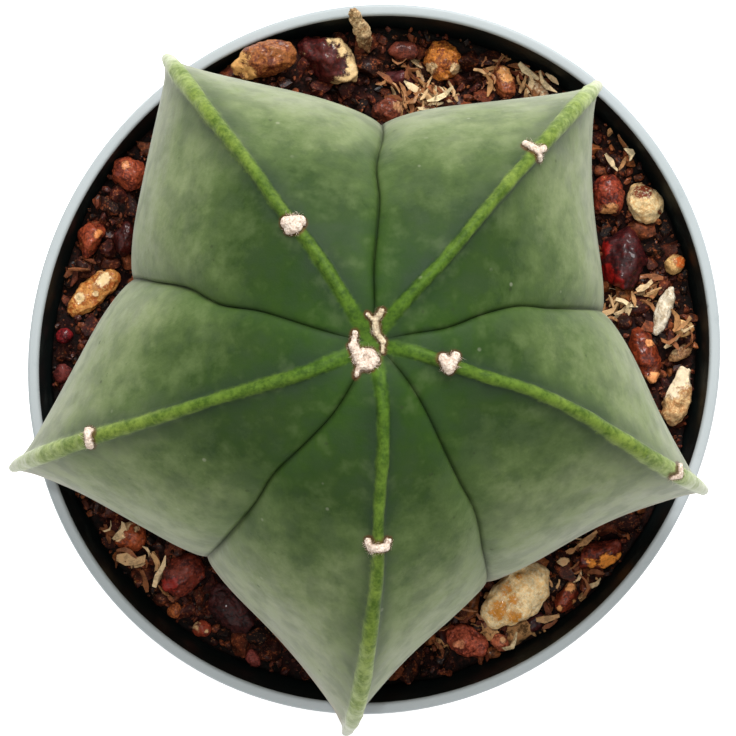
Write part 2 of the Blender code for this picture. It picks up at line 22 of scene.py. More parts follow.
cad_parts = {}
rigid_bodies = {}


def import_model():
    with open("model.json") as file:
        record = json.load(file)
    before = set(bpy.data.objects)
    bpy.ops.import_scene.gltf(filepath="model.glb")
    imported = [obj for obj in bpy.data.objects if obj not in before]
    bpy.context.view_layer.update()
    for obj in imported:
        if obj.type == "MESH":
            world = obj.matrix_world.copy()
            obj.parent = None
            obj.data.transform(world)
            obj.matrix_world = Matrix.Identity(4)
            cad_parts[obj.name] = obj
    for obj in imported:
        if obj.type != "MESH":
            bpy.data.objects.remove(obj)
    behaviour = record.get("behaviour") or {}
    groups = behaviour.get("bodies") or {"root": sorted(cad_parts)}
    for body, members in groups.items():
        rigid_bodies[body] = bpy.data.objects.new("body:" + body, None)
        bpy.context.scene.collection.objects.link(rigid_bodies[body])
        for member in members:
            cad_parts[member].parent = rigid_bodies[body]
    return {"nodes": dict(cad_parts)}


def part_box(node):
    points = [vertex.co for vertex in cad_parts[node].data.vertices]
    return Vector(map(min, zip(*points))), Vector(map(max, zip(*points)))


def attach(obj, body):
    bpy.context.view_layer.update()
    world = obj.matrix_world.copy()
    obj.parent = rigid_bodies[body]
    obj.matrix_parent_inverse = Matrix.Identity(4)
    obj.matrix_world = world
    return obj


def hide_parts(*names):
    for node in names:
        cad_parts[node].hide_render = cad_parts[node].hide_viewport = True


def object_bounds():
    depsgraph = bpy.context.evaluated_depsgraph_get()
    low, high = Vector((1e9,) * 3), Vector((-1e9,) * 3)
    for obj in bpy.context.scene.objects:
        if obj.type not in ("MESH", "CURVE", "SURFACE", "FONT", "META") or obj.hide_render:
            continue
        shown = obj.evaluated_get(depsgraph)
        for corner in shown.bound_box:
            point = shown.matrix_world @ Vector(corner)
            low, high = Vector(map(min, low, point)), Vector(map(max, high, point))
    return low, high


MM = 0.001
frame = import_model()
cad_low, cad_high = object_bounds()
print(len(frame["nodes"]), "solids, box in mm:", [round(side / MM, 1) for side in cad_high - cad_low])

# %% [markdown]
# ## The camera
#
# The picture is taken from straight above, so near that the crown looks a little larger than the rim. A
# lens of 196 mm at 400 mm above the rim gives that slight perspective. The camera stands first, because
# every size below is compared with the picture that it takes.

# %% Camera
POT_HEIGHT = 62.0 * MM
VIEW_CENTRE = (-0.61 * MM, -0.87 * MM)
VIEW_DISTANCE = 400.0 * MM
VIEW_WIDTH = 73.6 * MM
SENSOR = 36.0

view_data = bpy.data.cameras.new("view")
view_data.sensor_width = SENSOR
view_data.lens = SENSOR * VIEW_DISTANCE / VIEW_WIDTH
view = bpy.data.objects.new("view", view_data)
view.location = (*VIEW_CENTRE, POT_HEIGHT + VIEW_DISTANCE)
bpy.context.scene.collection.objects.link(view)
bpy.context.scene.camera = view
bpy.context.scene.view_settings.view_transform = "Standard"
print("camera", round(view.location.z, 3), "m up, lens", round(view_data.lens, 1))

# %% [markdown]
# ## Light
#
# The light in the picture is soft and comes from the top edge, so one wide lamp stands there, a weaker one
# fills the other side, and a white sky lights the rest. A small lamp beside the camera gives wet stones
# their bright points.


# %% Lamps and sky
def add_lamp(name, place, width, watts):
    """Add a square lamp that looks at the plant's middle."""
    lamp = bpy.data.objects.new(name, bpy.data.lights.new(name, "AREA"))
    lamp.data.size = width
    lamp.data.energy = watts
    lamp.location = place
    lamp.rotation_euler = (Vector((0, 0, POT_HEIGHT)) - Vector(place)).to_track_quat("-Z", "Y").to_euler()
    bpy.context.scene.collection.objects.link(lamp)


SKY_STRENGTH = 0.56
add_lamp("key", (0.10, 0.44, 0.52), 0.30, 4.9)
add_lamp("fill", (0.04, -0.34, 0.72), 0.50, 1.2)
add_lamp("spark", (-0.03, 0.08, 0.70), 0.025, 0.8)
sky = bpy.data.worlds.new("sky")
sky.use_nodes = True
sky.node_tree.nodes["Background"].inputs["Color"].default_value = (1.0, 1.0, 1.0, 1.0)
sky.node_tree.nodes["Background"].inputs["Strength"].default_value = SKY_STRENGTH
bpy.context.scene.world = sky

# %% [markdown]
# ## Shader maths as plain Python
#
# A material is a tree of nodes. Writing each link by hand hides the idea, so one small class wraps a
# socket and lets + - and * add the Math nodes. A second one holds a material's tree and its one method that
# adds any other node: its type, its settings first, and then the values or wires of its sockets. It also
# keeps the colour so far, which each later layer is laid over.


# %% Wires and finishes
def seen(red, green, blue):
    """Return a screen colour from 0 to 255 as the linear light that a shader works in."""
    return tuple(
        (part / 255 / 12.92) if part <= 10 else ((part / 255 + 0.055) / 1.055) ** 2.4
        for part in (red, green, blue)
    )


def maths(operation, swapped=False):
    """Return a method that adds a Math node to a wire and its other value."""

    def method(wire, other):
        values = (other, wire) if swapped else (wire, other)
        return wire.finish.node("ShaderNodeMath", {"operation": operation}, dict(enumerate(values)))

    return method


class Wire:
    """A socket of a material, which sums and products of wires add Math nodes to."""

    def __init__(self, finish, socket):
        self.finish = finish
        self.socket = socket

    __add__ = maths("ADD")
    __radd__ = maths("ADD", swapped=True)
    __sub__ = maths("SUBTRACT")
    __rsub__ = maths("SUBTRACT", swapped=True)
    __mul__ = maths("MULTIPLY")
    __rmul__ = maths("MULTIPLY", swapped=True)


class Finish:
    """A material, and the methods that add nodes to its tree."""

    def __init__(self, name):
        self.material = bpy.data.materials.new(name)
        self.material.use_nodes = True
        self.tree = self.material.node_tree
        self.shader = self.tree.nodes["Principled BSDF"]
        self.place = None
        self.colour = None

    def put(self, socket, value):
        """Link a wire to a socket, or set a plain number or colour on it."""
        if isinstance(value, Wire):
            self.tree.links.new(value.socket, socket)
        elif socket.type == "RGBA":
            socket.default_value = (*value, 1.0)
        else:
            socket.default_value = value

    def node(self, kind, settings, inputs, output=0):
        """Add a node, set its settings and then its sockets, and return one of its outputs."""
        made = self.tree.nodes.new(kind)
        for name, value in settings.items():
            setattr(made, name, value)
        for key, value in inputs.items():
            self.put(made.inputs[key], value)
        return Wire(self, made.outputs[output])

    def millimetres(self):
        """Return the place on the object, counted in millimetres."""
        if self.place is None:
            spot = self.node("ShaderNodeTexCoord", {}, {}, "Object")
            self.place = self.node("ShaderNodeMapping", {}, {"Vector": spot, "Scale": (1000, 1000, 1000)})
        return self.place

    def noise(self, size, detail=2.0, roughness=0.5):
        """Return soft noise whose lumps are this many millimetres across."""
        sockets = {"Vector": self.millimetres(), "Scale": 1 / size}
        sockets.update(Detail=detail, Roughness=roughness)
        return self.node("ShaderNodeTexNoise", {}, sockets)

    def cells(self, size):
        """Return the distance from the middles of cells that are this many millimetres across."""
        return self.node("ShaderNodeTexVoronoi", {}, {"Vector": self.millimetres(), "Scale": 1 / size})

    def attribute(self, name):
        """Return a number that the mesh carries at each corner."""
        return self.node("ShaderNodeAttribute", {"attribute_name": name}, {}, "Fac")

    def fade(self, value, start, end):
        """Return 0 at the start value, 1 at the end value and a smooth change between them."""
        settings = {"interpolation_type": "SMOOTHSTEP"}
        sockets = {"Value": value, "From Min": start, "From Max": end}
        return self.node("ShaderNodeMapRange", settings, sockets)

    def ramp(self, value, stops, interpolation="LINEAR"):
        """Return the colour that a ramp has at a value. A stop is a place and a screen colour."""
        made = self.node("ShaderNodeValToRGB", {}, {"Fac": value})
        ramp = made.socket.node.color_ramp
        ramp.interpolation = interpolation
        while len(ramp.elements) < len(stops):
            ramp.elements.new(1.0)
        for element, (place, *shade) in zip(ramp.elements, stops):
            element.position = place
            element.color = (*seen(*shade), 1.0)
        return made

    def mix(self, share, first, second):
        """Return two colours mixed: the first where the share is 0 and the second where it is 1."""
        return self.node("ShaderNodeMix", {"data_type": "RGBA"}, {0: share, 6: first, 7: second}, 2)

    def cover(self, share, *shade):
        """Lay a screen colour over the colour so far, as strongly as the share says."""
        self.colour = self.mix(share, self.colour, seen(*shade))

    def bump(self, height, strength, depth, under=None):
        """Return a normal raised by a height of 0 to 1, which stands for a depth in millimetres."""
        sockets = {"Height": height, "Strength": strength, "Distance": depth * MM}
        if under is not None:
            sockets["Normal"] = under
        return self.node("ShaderNodeBump", {}, sockets)

    def set(self, **values):
        """Set the shader's own sockets, named with underscores for spaces, and return the material."""
        for name, value in values.items():
            self.put(self.shader.inputs[name.replace("_", " ")], value)
        return self.material


print("a screen grey of 128 is", round(seen(128, 128, 128)[0], 3), "in linear light")

# %% [markdown]
# ## Working by hand, in code
#
# Blender's operators act on whatever is selected. The loaded solids are still selected, so every step
# below starts by putting all selections away and picking one object.


# %% Picking, applying and finishing
def pick(piece):
    """Make one object the only selected one and the active one."""
    if bpy.context.mode != "OBJECT":
        bpy.ops.object.mode_set(mode="OBJECT")
    bpy.ops.object.select_all(action="DESELECT")
    piece.select_set(True)
    bpy.context.view_layer.objects.active = piece
    return piece


def new_primitive(add, name, **settings):
    """Add a primitive with an operator and return it, named and picked."""
    if bpy.context.mode != "OBJECT":
        bpy.ops.object.mode_set(mode="OBJECT")
    bpy.ops.object.select_all(action="DESELECT")
    add(**settings)
    piece = bpy.context.active_object
    piece.name = name
    piece.data.name = name
    return piece


def apply_modifier(piece, kind, **settings):
    """Add a modifier with its settings, apply it and leave its result in the mesh."""
    pick(piece)
    modifier = piece.modifiers.new(kind.lower(), kind)
    for name, value in settings.items():
        setattr(modifier, name, value)
    bpy.ops.object.modifier_apply(modifier=modifier.name)


def settle(piece):
    """Bake an object's place, turn and scale into its mesh."""
    pick(piece)
    bpy.ops.object.transform_apply(location=True, rotation=True, scale=True)


def shade(piece, sharp=None):
    """Shade a piece smooth, but for the edges over an angle in degrees where one is given."""
    pick(piece)
    if sharp is None:
        bpy.ops.object.shade_smooth()
    else:
        bpy.ops.object.shade_smooth_by_angle(angle=math.radians(sharp))
    return piece


def show(mesh, name):
    """Return a new object that shows a mesh."""
    piece = bpy.data.objects.new(name, mesh)
    bpy.context.scene.collection.objects.link(piece)
    return piece


def add_copy(shape, model, matrix):
    """Add a copy of a model's mesh to a shape that is being joined, moved by a matrix."""
    copy = model.data.copy()
    copy.transform(matrix)
    shape.from_mesh(copy)
    bpy.data.meshes.remove(copy)


def joined_piece(shape, name):
    """Return the piece that a joined shape becomes."""
    mesh = bpy.data.meshes.new(name)
    shape.to_mesh(mesh)
    shape.free()
    return show(mesh, name)


def note(piece, name, values):
    """Store a number at each corner, under a name that a finish can read."""
    piece.data.attributes.new(name, "FLOAT", "POINT").data.foreach_set("value", values)


def smooth(value):
    """Return 0 below 0, 1 above 1 and a smooth rise between them."""
    value = min(max(value, 0.0), 1.0)
    return value * value * (3 - 2 * value)


def triangles(piece):
    """Return how many triangles a mesh has."""
    return sum(len(face.vertices) - 2 for face in piece.data.polygons)


# %% [markdown]
# ## The floor
#
# The floor is plain and pale, and glows a little, as a light table does.

# %% Floor
FLOOR_SIZE = 3.0
FLOOR_TONES = ((0.3, 247, 247, 247), (0.7, 251, 251, 251))
floor = new_primitive(bpy.ops.mesh.primitive_plane_add, "floor", size=FLOOR_SIZE)
floor_finish = Finish("pale_floor")
floor_tone = floor_finish.ramp(floor_finish.noise(40.0), FLOOR_TONES)
floor_finish.set(Emission_Color=(1.0, 1.0, 1.0), Emission_Strength=0.45)
floor.data.materials.append(floor_finish.set(Base_Color=floor_tone, Roughness=0.9))
print("floor", [round(side, 1) for side in floor.dimensions])

# %% [markdown]
# ## The pot
#
# The real pot is moulded from thin plastic: a tapering wall, a deeper collar below the rim and a flat base
# with drain holes. A turned shape can be spun from a profile, but here it is pulled up as on a wheel: a
# circle is extruded from level to level and resized each time. That keeps the levels as a short table.


# %% Pot measurements
RIM_RADIUS = 35.1 * MM
RIM_WIDTH = 1.1 * MM
COLLAR_DEPTH = 11.0 * MM
COLLAR_TAPER = 0.4 * MM
COLLAR_STEP = 1.2 * MM
BASE_RADIUS = 25.2 * MM
INNER_BASE_RADIUS = 24.4 * MM
FLOOR_THICKNESS = 1.4 * MM
INNER_FOOT = 2 * FLOOR_THICKNESS
POT_SEGMENTS = 180
POT_ROUNDING = 0.3 * MM
BEVEL_ABOVE = 25
POT_SHARP = 35
SQUEEZE = 0.021
SQUEEZE_HEADING = math.radians(63)
WELD = 0.01 * MM
DRAIN_COUNT = 6
DRAIN_RADIUS = 2.75 * MM
DRAIN_SIDES = 40
DRAIN_CIRCLE = 18.0 * MM


def squeezed(point):
    """Return a point of the pot moved by the squeeze, which grows from the floor to the rim."""
    share = SQUEEZE * point.z / POT_HEIGHT
    turn = Matrix.Rotation(SQUEEZE_HEADING, 3, "Z")
    local = turn.transposed() @ point
    return turn @ Vector((local.x * (1 + share), local.y * (1 - share), local.z))


def inner_radius(height):
    """Return the radius of the pot's inner wall at a height, before the squeeze."""
    slope = (RIM_RADIUS - RIM_WIDTH - INNER_BASE_RADIUS) / (POT_HEIGHT - INNER_FOOT)
    return RIM_RADIUS - RIM_WIDTH - slope * (POT_HEIGHT - height)


def outer_levels():
    """Return the outside of the pot from the base up to the rim, as radius and height."""
    foot = POT_HEIGHT - COLLAR_DEPTH
    top_radius, top = RIM_RADIUS - COLLAR_TAPER - COLLAR_STEP, foot - 0.5 * COLLAR_STEP
    wall = [(BASE_RADIUS + (top_radius - BASE_RADIUS) * share, top * share) for share in (0, 0.5, 1)]
    return [*wall, (RIM_RADIUS - COLLAR_TAPER, foot), (RIM_RADIUS, POT_HEIGHT)]


def inner_levels():
    """Return the inside of the pot from the rim down to the floor."""
    wall = [(inner_radius(height), height) for height in (POT_HEIGHT, 0.6 * POT_HEIGHT, INNER_FOOT)]
    return [*wall, (INNER_BASE_RADIUS - FLOOR_THICKNESS, FLOOR_THICKNESS)]


# %% Pull the pot up from a circle
def pull_up(name, levels, segments):
    """Extrude a circle from level to level, and close it at both ends."""
    (radius, height), *others = levels
    add = bpy.ops.mesh.primitive_circle_add
    piece = new_primitive(add, name, vertices=segments, radius=radius, location=(0, 0, height))
    settle(piece)
    bpy.ops.object.mode_set(mode="EDIT")
    bpy.ops.mesh.select_mode(type="EDGE")
    bpy.ops.mesh.select_all(action="SELECT")
    bpy.ops.mesh.duplicate()
    bpy.ops.mesh.edge_face_add()
    bpy.ops.mesh.select_all(action="SELECT")
    bpy.ops.mesh.region_to_loop()
    for next_radius, next_height in others:
        bpy.ops.mesh.extrude_region_move(TRANSFORM_OT_translate={"value": (0, 0, next_height - height)})
        grow = next_radius / radius
        bpy.ops.transform.resize(value=(grow, grow, 1), center_override=(0, 0, next_height))
        radius, height = next_radius, next_height
    bpy.ops.mesh.edge_face_add()
    bpy.ops.mesh.select_all(action="SELECT")
    bpy.ops.mesh.remove_doubles(threshold=WELD)
    bpy.ops.mesh.normals_make_consistent(inside=False)
    bpy.ops.object.mode_set(mode="OBJECT")
    return piece


pot = pull_up("pot_fine", outer_levels() + inner_levels(), POT_SEGMENTS)
limits = {"limit_method": "ANGLE", "angle_limit": math.radians(BEVEL_ABOVE)}
apply_modifier(pot, "BEVEL", width=POT_ROUNDING, segments=4, **limits)
print("pot wall:", triangles(pot), "triangles")


# %% Drain holes, squeeze and shading
def cut_drains(piece):
    """Cut the ring of drain holes through the pot's base."""
    add = bpy.ops.mesh.primitive_cylinder_add
    sizes = {"vertices": DRAIN_SIDES, "radius": DRAIN_RADIUS, "depth": 6 * FLOOR_THICKNESS}
    drills = []
    for number in range(DRAIN_COUNT):
        turn = 2 * math.pi * (number + 0.5) / DRAIN_COUNT
        place = (DRAIN_CIRCLE * math.cos(turn), DRAIN_CIRCLE * math.sin(turn), 0)
        drills.append(new_primitive(add, f"drill_{number}", location=place, **sizes))
    pick(drills[0])
    for drill in drills:
        drill.select_set(True)
    bpy.ops.object.join()
    apply_modifier(piece, "BOOLEAN", operation="DIFFERENCE", object=drills[0])
    bpy.data.objects.remove(drills[0], do_unlink=True)


cut_drains(pot)
for corner in pot.data.vertices:
    corner.co = squeezed(corner.co)
shade(pot, POT_SHARP)
print("pot with holes:", triangles(pot), "triangles")

# %% [markdown]
# The plastic is pale blue-grey outside and on the rim, and black inside. The two colours belong to faces
# and not to a pattern, so the mesh gets two materials: the dark one goes on the faces that look at the
# axis and on the floor. The pale one has faint clouds, a fine moulded grain and a few scuffs.

# %% Pot finishes
RIM_NICKS = ((-25.8, -18.7), (32.8, 5.2), (-31.9, -3.0))


def pale_plastic():
    """Satin blue-grey plastic with faint clouds, fine grain, scuffs and three small nicks in its rim."""
    finish = Finish("pot_pale_plastic")
    clouds = finish.noise(14.0, 3.0)
    grain = finish.noise(0.35, 2.0)
    scuffs = finish.fade(finish.noise(2.2, 5.0, 0.7), 0.60, 0.74)
    finish.colour = finish.ramp(clouds, ((0.30, 157, 165, 167), (0.70, 163, 170, 172)))
    finish.cover(0.35 * scuffs, 136, 146, 149)
    for x, y in RIM_NICKS:
        ends = {0: finish.millimetres(), 1: (x, y, POT_HEIGHT / MM)}
        away = finish.node("ShaderNodeVectorMath", {"operation": "DISTANCE"}, ends, "Value")
        nick = finish.fade(away + 0.8 * finish.noise(0.6), 1.05, 0.75)
        finish.cover(0.75 * nick, 84, 88, 90)
    normal = finish.bump(grain, 0.25, 0.05)
    roughness = 0.42 + 0.14 * clouds + 0.12 * scuffs
    return finish.set(Base_Color=finish.colour, Roughness=roughness, Normal=normal)


def dark_plastic():
    """The black inside of the wall, with a film of dried soil in places."""
    finish = Finish("pot_dark_plastic")
    film = finish.fade(finish.noise(3.0, 5.0, 0.65), 0.50, 0.72)
    finish.colour = finish.mix(0.5 * film, seen(9, 18, 18), seen(30, 36, 33))
    normal = finish.bump(finish.noise(0.5, 3.0), 0.3, 0.06)
    finish.set(Specular_IOR_Level=0.2)
    return finish.set(Base_Color=finish.colour, Roughness=0.5 + 0.3 * film, Normal=normal)


pot.data.materials.append(pale_plastic())
pot.data.materials.append(dark_plastic())
for face in pot.data.polygons:
    middle = face.center
    looks_in = face.normal.x * middle.x + face.normal.y * middle.y < -0.2 * math.hypot(middle.x, middle.y)
    on_rim = middle.z > POT_HEIGHT - POT_ROUNDING
    on_floor = face.normal.z > 0.5 and 0.9 * FLOOR_THICKNESS < middle.z < POT_HEIGHT / 2
    in_hole = middle.z < FLOOR_THICKNESS and face.normal.z < 0.5
    face.material_index = 1 if on_floor or (looks_in and not on_rim and not in_hole) else 0
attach(pot, "root")
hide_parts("pot")
print("dark faces:", sum(face.material_index for face in pot.data.polygons))

# %% [markdown]
# ## The plant's body
#
# A bishop's cap is a ball drawn out into five ribs. The crest of each rib climbs from a pointed beak at the
# widest level to the crown and turns a little on its way, and a sharp crease runs up between two ribs. No
# operator bends a ball like that, so a ball is added and each of its corners is moved by a rule: its ring
# gives the height, and its place along the ring gives how far it lies between a crease and a crest.


# %% Ribs and creases
class Crease(NamedTuple):
    """A crease: its reach at the widest level, and its headings at the line latitudes, in degrees."""

    reach: float
    headings: tuple


class Rib(NamedTuple):
    """A rib: its crest's reach and headings, and how straight its two flanks run out, from 0 to 1."""

    reach: float
    headings: tuple
    straight_before: float
    straight_after: float


LINE_LATITUDES = (0, 30, 45, 55, 65, 75, 88)
RIBS = (
    Rib(34.9 * MM, (50.3, 50.1, 50.0, 50.0, 49.7, 49.4, 55.0), 0.33, 0.57),
    Rib(35.3 * MM, (123.3, 124.0, 124.1, 123.6, 123.6, 121.2, 121.0), 0.60, 0.61),
    Rib(35.7 * MM, (196.4, 197.0, 197.6, 198.4, 199.2, 201.9, 208.0), 0.59, 0.50),
    Rib(35.6 * MM, (266.7, 268.9, 270.3, 271.8, 272.7, 276.9, 285.0), 0.43, 0.46),
    Rib(34.8 * MM, (339.3, 339.1, 340.5, 342.6, 344.3, 344.4, 350.0), 0.30, 0.60),
)
CREASES = (
    Crease(23.5 * MM, (11.8, 12.0, 13.1, 15.8, 15.3, 11.8, 16.0)),
    Crease(23.2 * MM, (86.9, 86.7, 88.3, 86.9, 87.4, 88.4, 84.0)),
    Crease(24.3 * MM, (160.3, 161.5, 161.6, 164.4, 163.2, 164.5, 168.0)),
    Crease(24.6 * MM, (230.3, 232.2, 233.2, 232.7, 236.4, 242.0, 246.0)),
    Crease(24.4 * MM, (298.6, 300.2, 303.2, 303.7, 305.9, 311.0, 320.0)),
)
WIDEST_LEVEL = 71.0 * MM
DOME_HEIGHT = 28.5 * MM
BELLY_DEPTH = 22.5 * MM
BELLY_TAPER = 23.0 * MM
BELLY_CURVE = 1.15
BELLY_CLOSING = 8
BELLY_RIBBED = 0.7
BELLY_SHARE = 0.78
ROOT_LENGTH = 8.0 * MM
ROOT_SHARE = 0.10
PLANT_CENTRE = Vector((-0.7, -0.5)) * MM
CROWN_CENTRE = Vector((-0.25, 1.4)) * MM
CROWN = math.radians(88)
PILLOW = 0.4
PILLOW_HEIGHT = math.radians(50)
CROWN_DIP = 1.2 * MM
CROWN_DIP_RADIUS = 3.0 * MM


def heading(line, latitude):
    """Return the heading of a crest or crease at a latitude, on a smooth curve through its headings."""
    at, values = LINE_LATITUDES, line.headings
    here = min(max(math.degrees(latitude), at[0]), at[-1])
    after = next(number for number in range(1, len(at)) if here <= at[number])
    first = after - 1
    before_first, after_last = max(first - 1, 0), min(after + 1, len(at) - 1)
    slope_first = (values[after] - values[before_first]) / (at[after] - at[before_first])
    slope_last = (values[after_last] - values[first]) / (at[after_last] - at[first])
    length = at[after] - at[first]
    part = (here - at[first]) / length
    eased = part * part * (3 - 2 * part)
    bend = part * (1 - part) * length * ((1 - part) * slope_first - part * slope_last)
    return math.radians(values[first] + (values[after] - values[first]) * eased + bend)


# %% Rings, flanks and bare skin
def ring_at(latitude):
    """Return a ring's height, its share of the full width, and how much it is still ribbed."""
    if latitude >= 0:
        return WIDEST_LEVEL + DOME_HEIGHT * math.sin(latitude), math.cos(latitude), 1.0
    down = -latitude / (math.pi / 2)
    if down <= BELLY_SHARE:
        drop = BELLY_DEPTH * (down / BELLY_SHARE) ** BELLY_CURVE
        closing = 1 - (drop / (BELLY_DEPTH * 1.02)) ** BELLY_CLOSING
        width = closing / (1 + (drop / BELLY_TAPER) ** 2)
        ribbed = 1 - smooth((down / BELLY_SHARE - BELLY_RIBBED) / (1 - BELLY_RIBBED))
        return WIDEST_LEVEL - drop, max(width, ROOT_SHARE), ribbed
    root = (down - BELLY_SHARE) / (1 - BELLY_SHARE)
    height = WIDEST_LEVEL - BELLY_DEPTH - ROOT_LENGTH * root
    return height, ROOT_SHARE * math.sqrt(1 - root * root), 0.0


def flank(share, straight, latitude):
    """Return how far out a flank lies between its crease (0) and its crest (1)."""
    plain = straight * share + (1 - straight) * share**4
    pillow = PILLOW * smooth(latitude / PILLOW_HEIGHT) * math.sqrt(share) * (1 - share)
    return plain + pillow


def bare_skin(rib_number, side, share, latitude):
    """Return a point of the skin on one side (-1 or 1) of a rib, and which way it lies from the axis."""
    rib = RIBS[rib_number]
    crease = CREASES[(rib_number + (side + 1) // 2) % len(CREASES)]
    straight = rib.straight_after if side > 0 else rib.straight_before
    height, width, ribbed = ring_at(latitude)
    crest_heading = heading(rib, latitude)
    crease_heading = heading(crease, latitude)
    if side > 0 and crease_heading < crest_heading:
        crease_heading += 2 * math.pi
    direction = crease_heading + (crest_heading - crease_heading) * share
    reach = crease.reach + (rib.reach - crease.reach) * flank(share, straight, latitude)
    plain = 0.5 * (crease.reach + rib.reach)
    radius = width * (plain + (reach - plain) * ribbed)
    dip = CROWN_DIP * math.exp(-((radius / CROWN_DIP_RADIUS) ** 2)) if latitude > 0 else 0.0
    centre = PLANT_CENTRE.lerp(CROWN_CENTRE, max(math.sin(latitude), 0.0))
    out = Vector((math.cos(direction), math.sin(direction), 0.0))
    return Vector((centre.x, centre.y, height - dip)) + radius * out, out


def skin_direction(out, latitude, reach):
    """Return which way the skin faces, where it faces away from the axis."""
    if latitude < 0:
        return out
    flat = DOME_HEIGHT * math.cos(latitude)
    return Vector((flat * out.x, flat * out.y, reach * math.sin(latitude))).normalized()


tip, _ = bare_skin(1, 1, 1.0, 0.0)
print("second rib's tip in mm:", [round(part / MM, 1) for part in tip])

# %% [markdown]
# ## Where the wool grows
#
# Each areole is a small pad of wool on a crest, and young wool fills the crown. A pad has a shape of its
# own, such as a heart or a bow, so it is drawn as a few strokes seen from above. The strokes are needed
# before the skin is shaped, because the skin is brown at a pad's edge.


# %% Strokes of wool
class Pad(NamedTuple):
    """A pad of wool: its rib, latitude and strokes, each two ends and a radius in mm from its middle."""

    rib: int
    latitude: float
    strokes: tuple


PADS = (
    Pad(0, 47, ((-0.9, 0.75, 0.1, 0.05, 0.38), (0.15, 0.0, 0.7, 0.35, 0.32), (0.2, -0.1, 0.3, -0.65, 0.28))),
    Pad(1, 68.3, ((-0.6, 0.2, 0.5, 0.15, 0.62), (-0.35, -0.45, 0.35, -0.3, 0.52))),
    Pad(2, 40, ((-0.1, 0.65, 0.05, -0.55, 0.42), (-0.1, 0.55, 0.25, 0.65, 0.30))),
    Pad(3, 59, ((-0.85, 0.45, -0.6, 0, 0.42), (-0.6, -0.1, 0.55, -0.1, 0.44), (0.6, 0, 0.85, 0.5, 0.34))),
    Pad(4, 78, ((-0.6, 0.45, 0, -0.4, 0.5), (0.55, 0.65, 0.05, -0.45, 0.5), (-0.1, 0.05, 0.2, 0.15, 0.55))),
    Pad(4, 27, ((0.35, 0.6, 0.35, -0.25, 0.30), (0.35, -0.3, -0.45, -0.4, 0.28))),
)
CROWN_STROKES = (
    (-1.25, -1.35, -0.95, -2.0, 0.50),
    (-0.95, -2.0, -0.2, -2.1, 0.50),
    (-0.2, -2.1, 0.3, -1.55, 0.48),
    (0.3, -1.55, -0.05, -0.95, 0.46),
    (-0.05, -0.95, -0.75, -0.85, 0.46),
    (-0.6, -1.6, -0.4, -1.35, 0.36),
    (-1.25, -1.35, -1.7, -0.3, 0.50),
    (-1.7, -0.3, -1.55, 0.95, 0.30),
    (-1.25, -2.2, -1.45, -3.0, 0.24),
    (0.9, 2.9, 0.3, 2.0, 0.32),
    (0.3, 2.0, 0.45, 0.9, 0.36),
    (0.45, 0.9, 1.05, 0.1, 0.30),
    (1.05, 0.1, 1.0, -0.8, 0.22),
    (-0.4, 2.6, 0.2, 2.0, 0.22),
)


def all_strokes():
    """Return every stroke in metres on the plan: its two ends and its radius."""
    found = []
    for pad in PADS:
        middle, _ = bare_skin(pad.rib, 1, 1.0, math.radians(pad.latitude))
        found += [(middle.xy, stroke) for stroke in pad.strokes]
    found += [(CROWN_CENTRE, stroke) for stroke in CROWN_STROKES]
    return [
        (middle + Vector((x0, y0)) * MM, middle + Vector((x1, y1)) * MM, radius * MM)
        for middle, (x0, y0, x1, y1, radius) in found
    ]


def from_wool(place):
    """Return how far a place on the plan is from the edge of the nearest stroke of wool."""
    nearest = 5 * MM
    for start, end, radius in strokes:
        run = end - start
        along = min(max((place - start).dot(run) / run.length_squared, 0.0), 1.0)
        nearest = min(nearest, (place - start - along * run).length - radius)
    return nearest


strokes = all_strokes()
print(len(strokes), "strokes of wool")

# %% [markdown]
# ## The cord on every crest
#
# The crest of every rib carries a raised cord, green and knobbly, more than a millimetre wide, and ends in
# a blunt beak where the rib is widest. The beak is a soft swelling that draws the skin beside it out to a
# point. The cord is a round rod laid over the crest. Every corner near the crest slides onto the rod: the
# nearer to the crest, the nearer to the rod's top. So the mesh stays one skin, and only its corners move.

# %% Relief of the skin
CORD_HALF_WIDTH = 0.64 * MM
CORD_REACH = 2.5 * MM
CORD_RISE = 0.42 * MM
CORD_KNOB = 1.9 * MM
CORD_GRAIN = 0.5 * MM
CORD_FADE = math.radians(9)
CORD_START = -1.1
CORD_GROWTH = 0.7
CORD_AT_CROWN = 0.25
KNOBBY_WIDTH = 0.16
KNOBBY_RISE = 0.4
FOOT_STEPS = 2
CORD_SWELL = 0.20
CORD_WIDEST = math.radians(25)
CORD_WAVE = math.radians(80)
BEAK_RISE = 0.50 * MM
BEAK_SPREAD = math.radians(10)
BEAK_WIDTH = 1.3 * MM
TIP_SLENDER = 0.35
CREASE_CUT = 0.45 * MM
CREASE_WIDTH = 0.36 * MM
WAVE_HEIGHT = 0.16 * MM
WAVE_LENGTH = 6.5 * MM
WAVE_FADE = 2 * MM
CREASE_FADE = 0.2


def cord_swell(latitude):
    """Return how much wider than usual the cord is. It is widest low down and slimmest high up."""
    return 1 + CORD_SWELL * math.cos(2 * math.pi * (latitude - CORD_WIDEST) / CORD_WAVE)


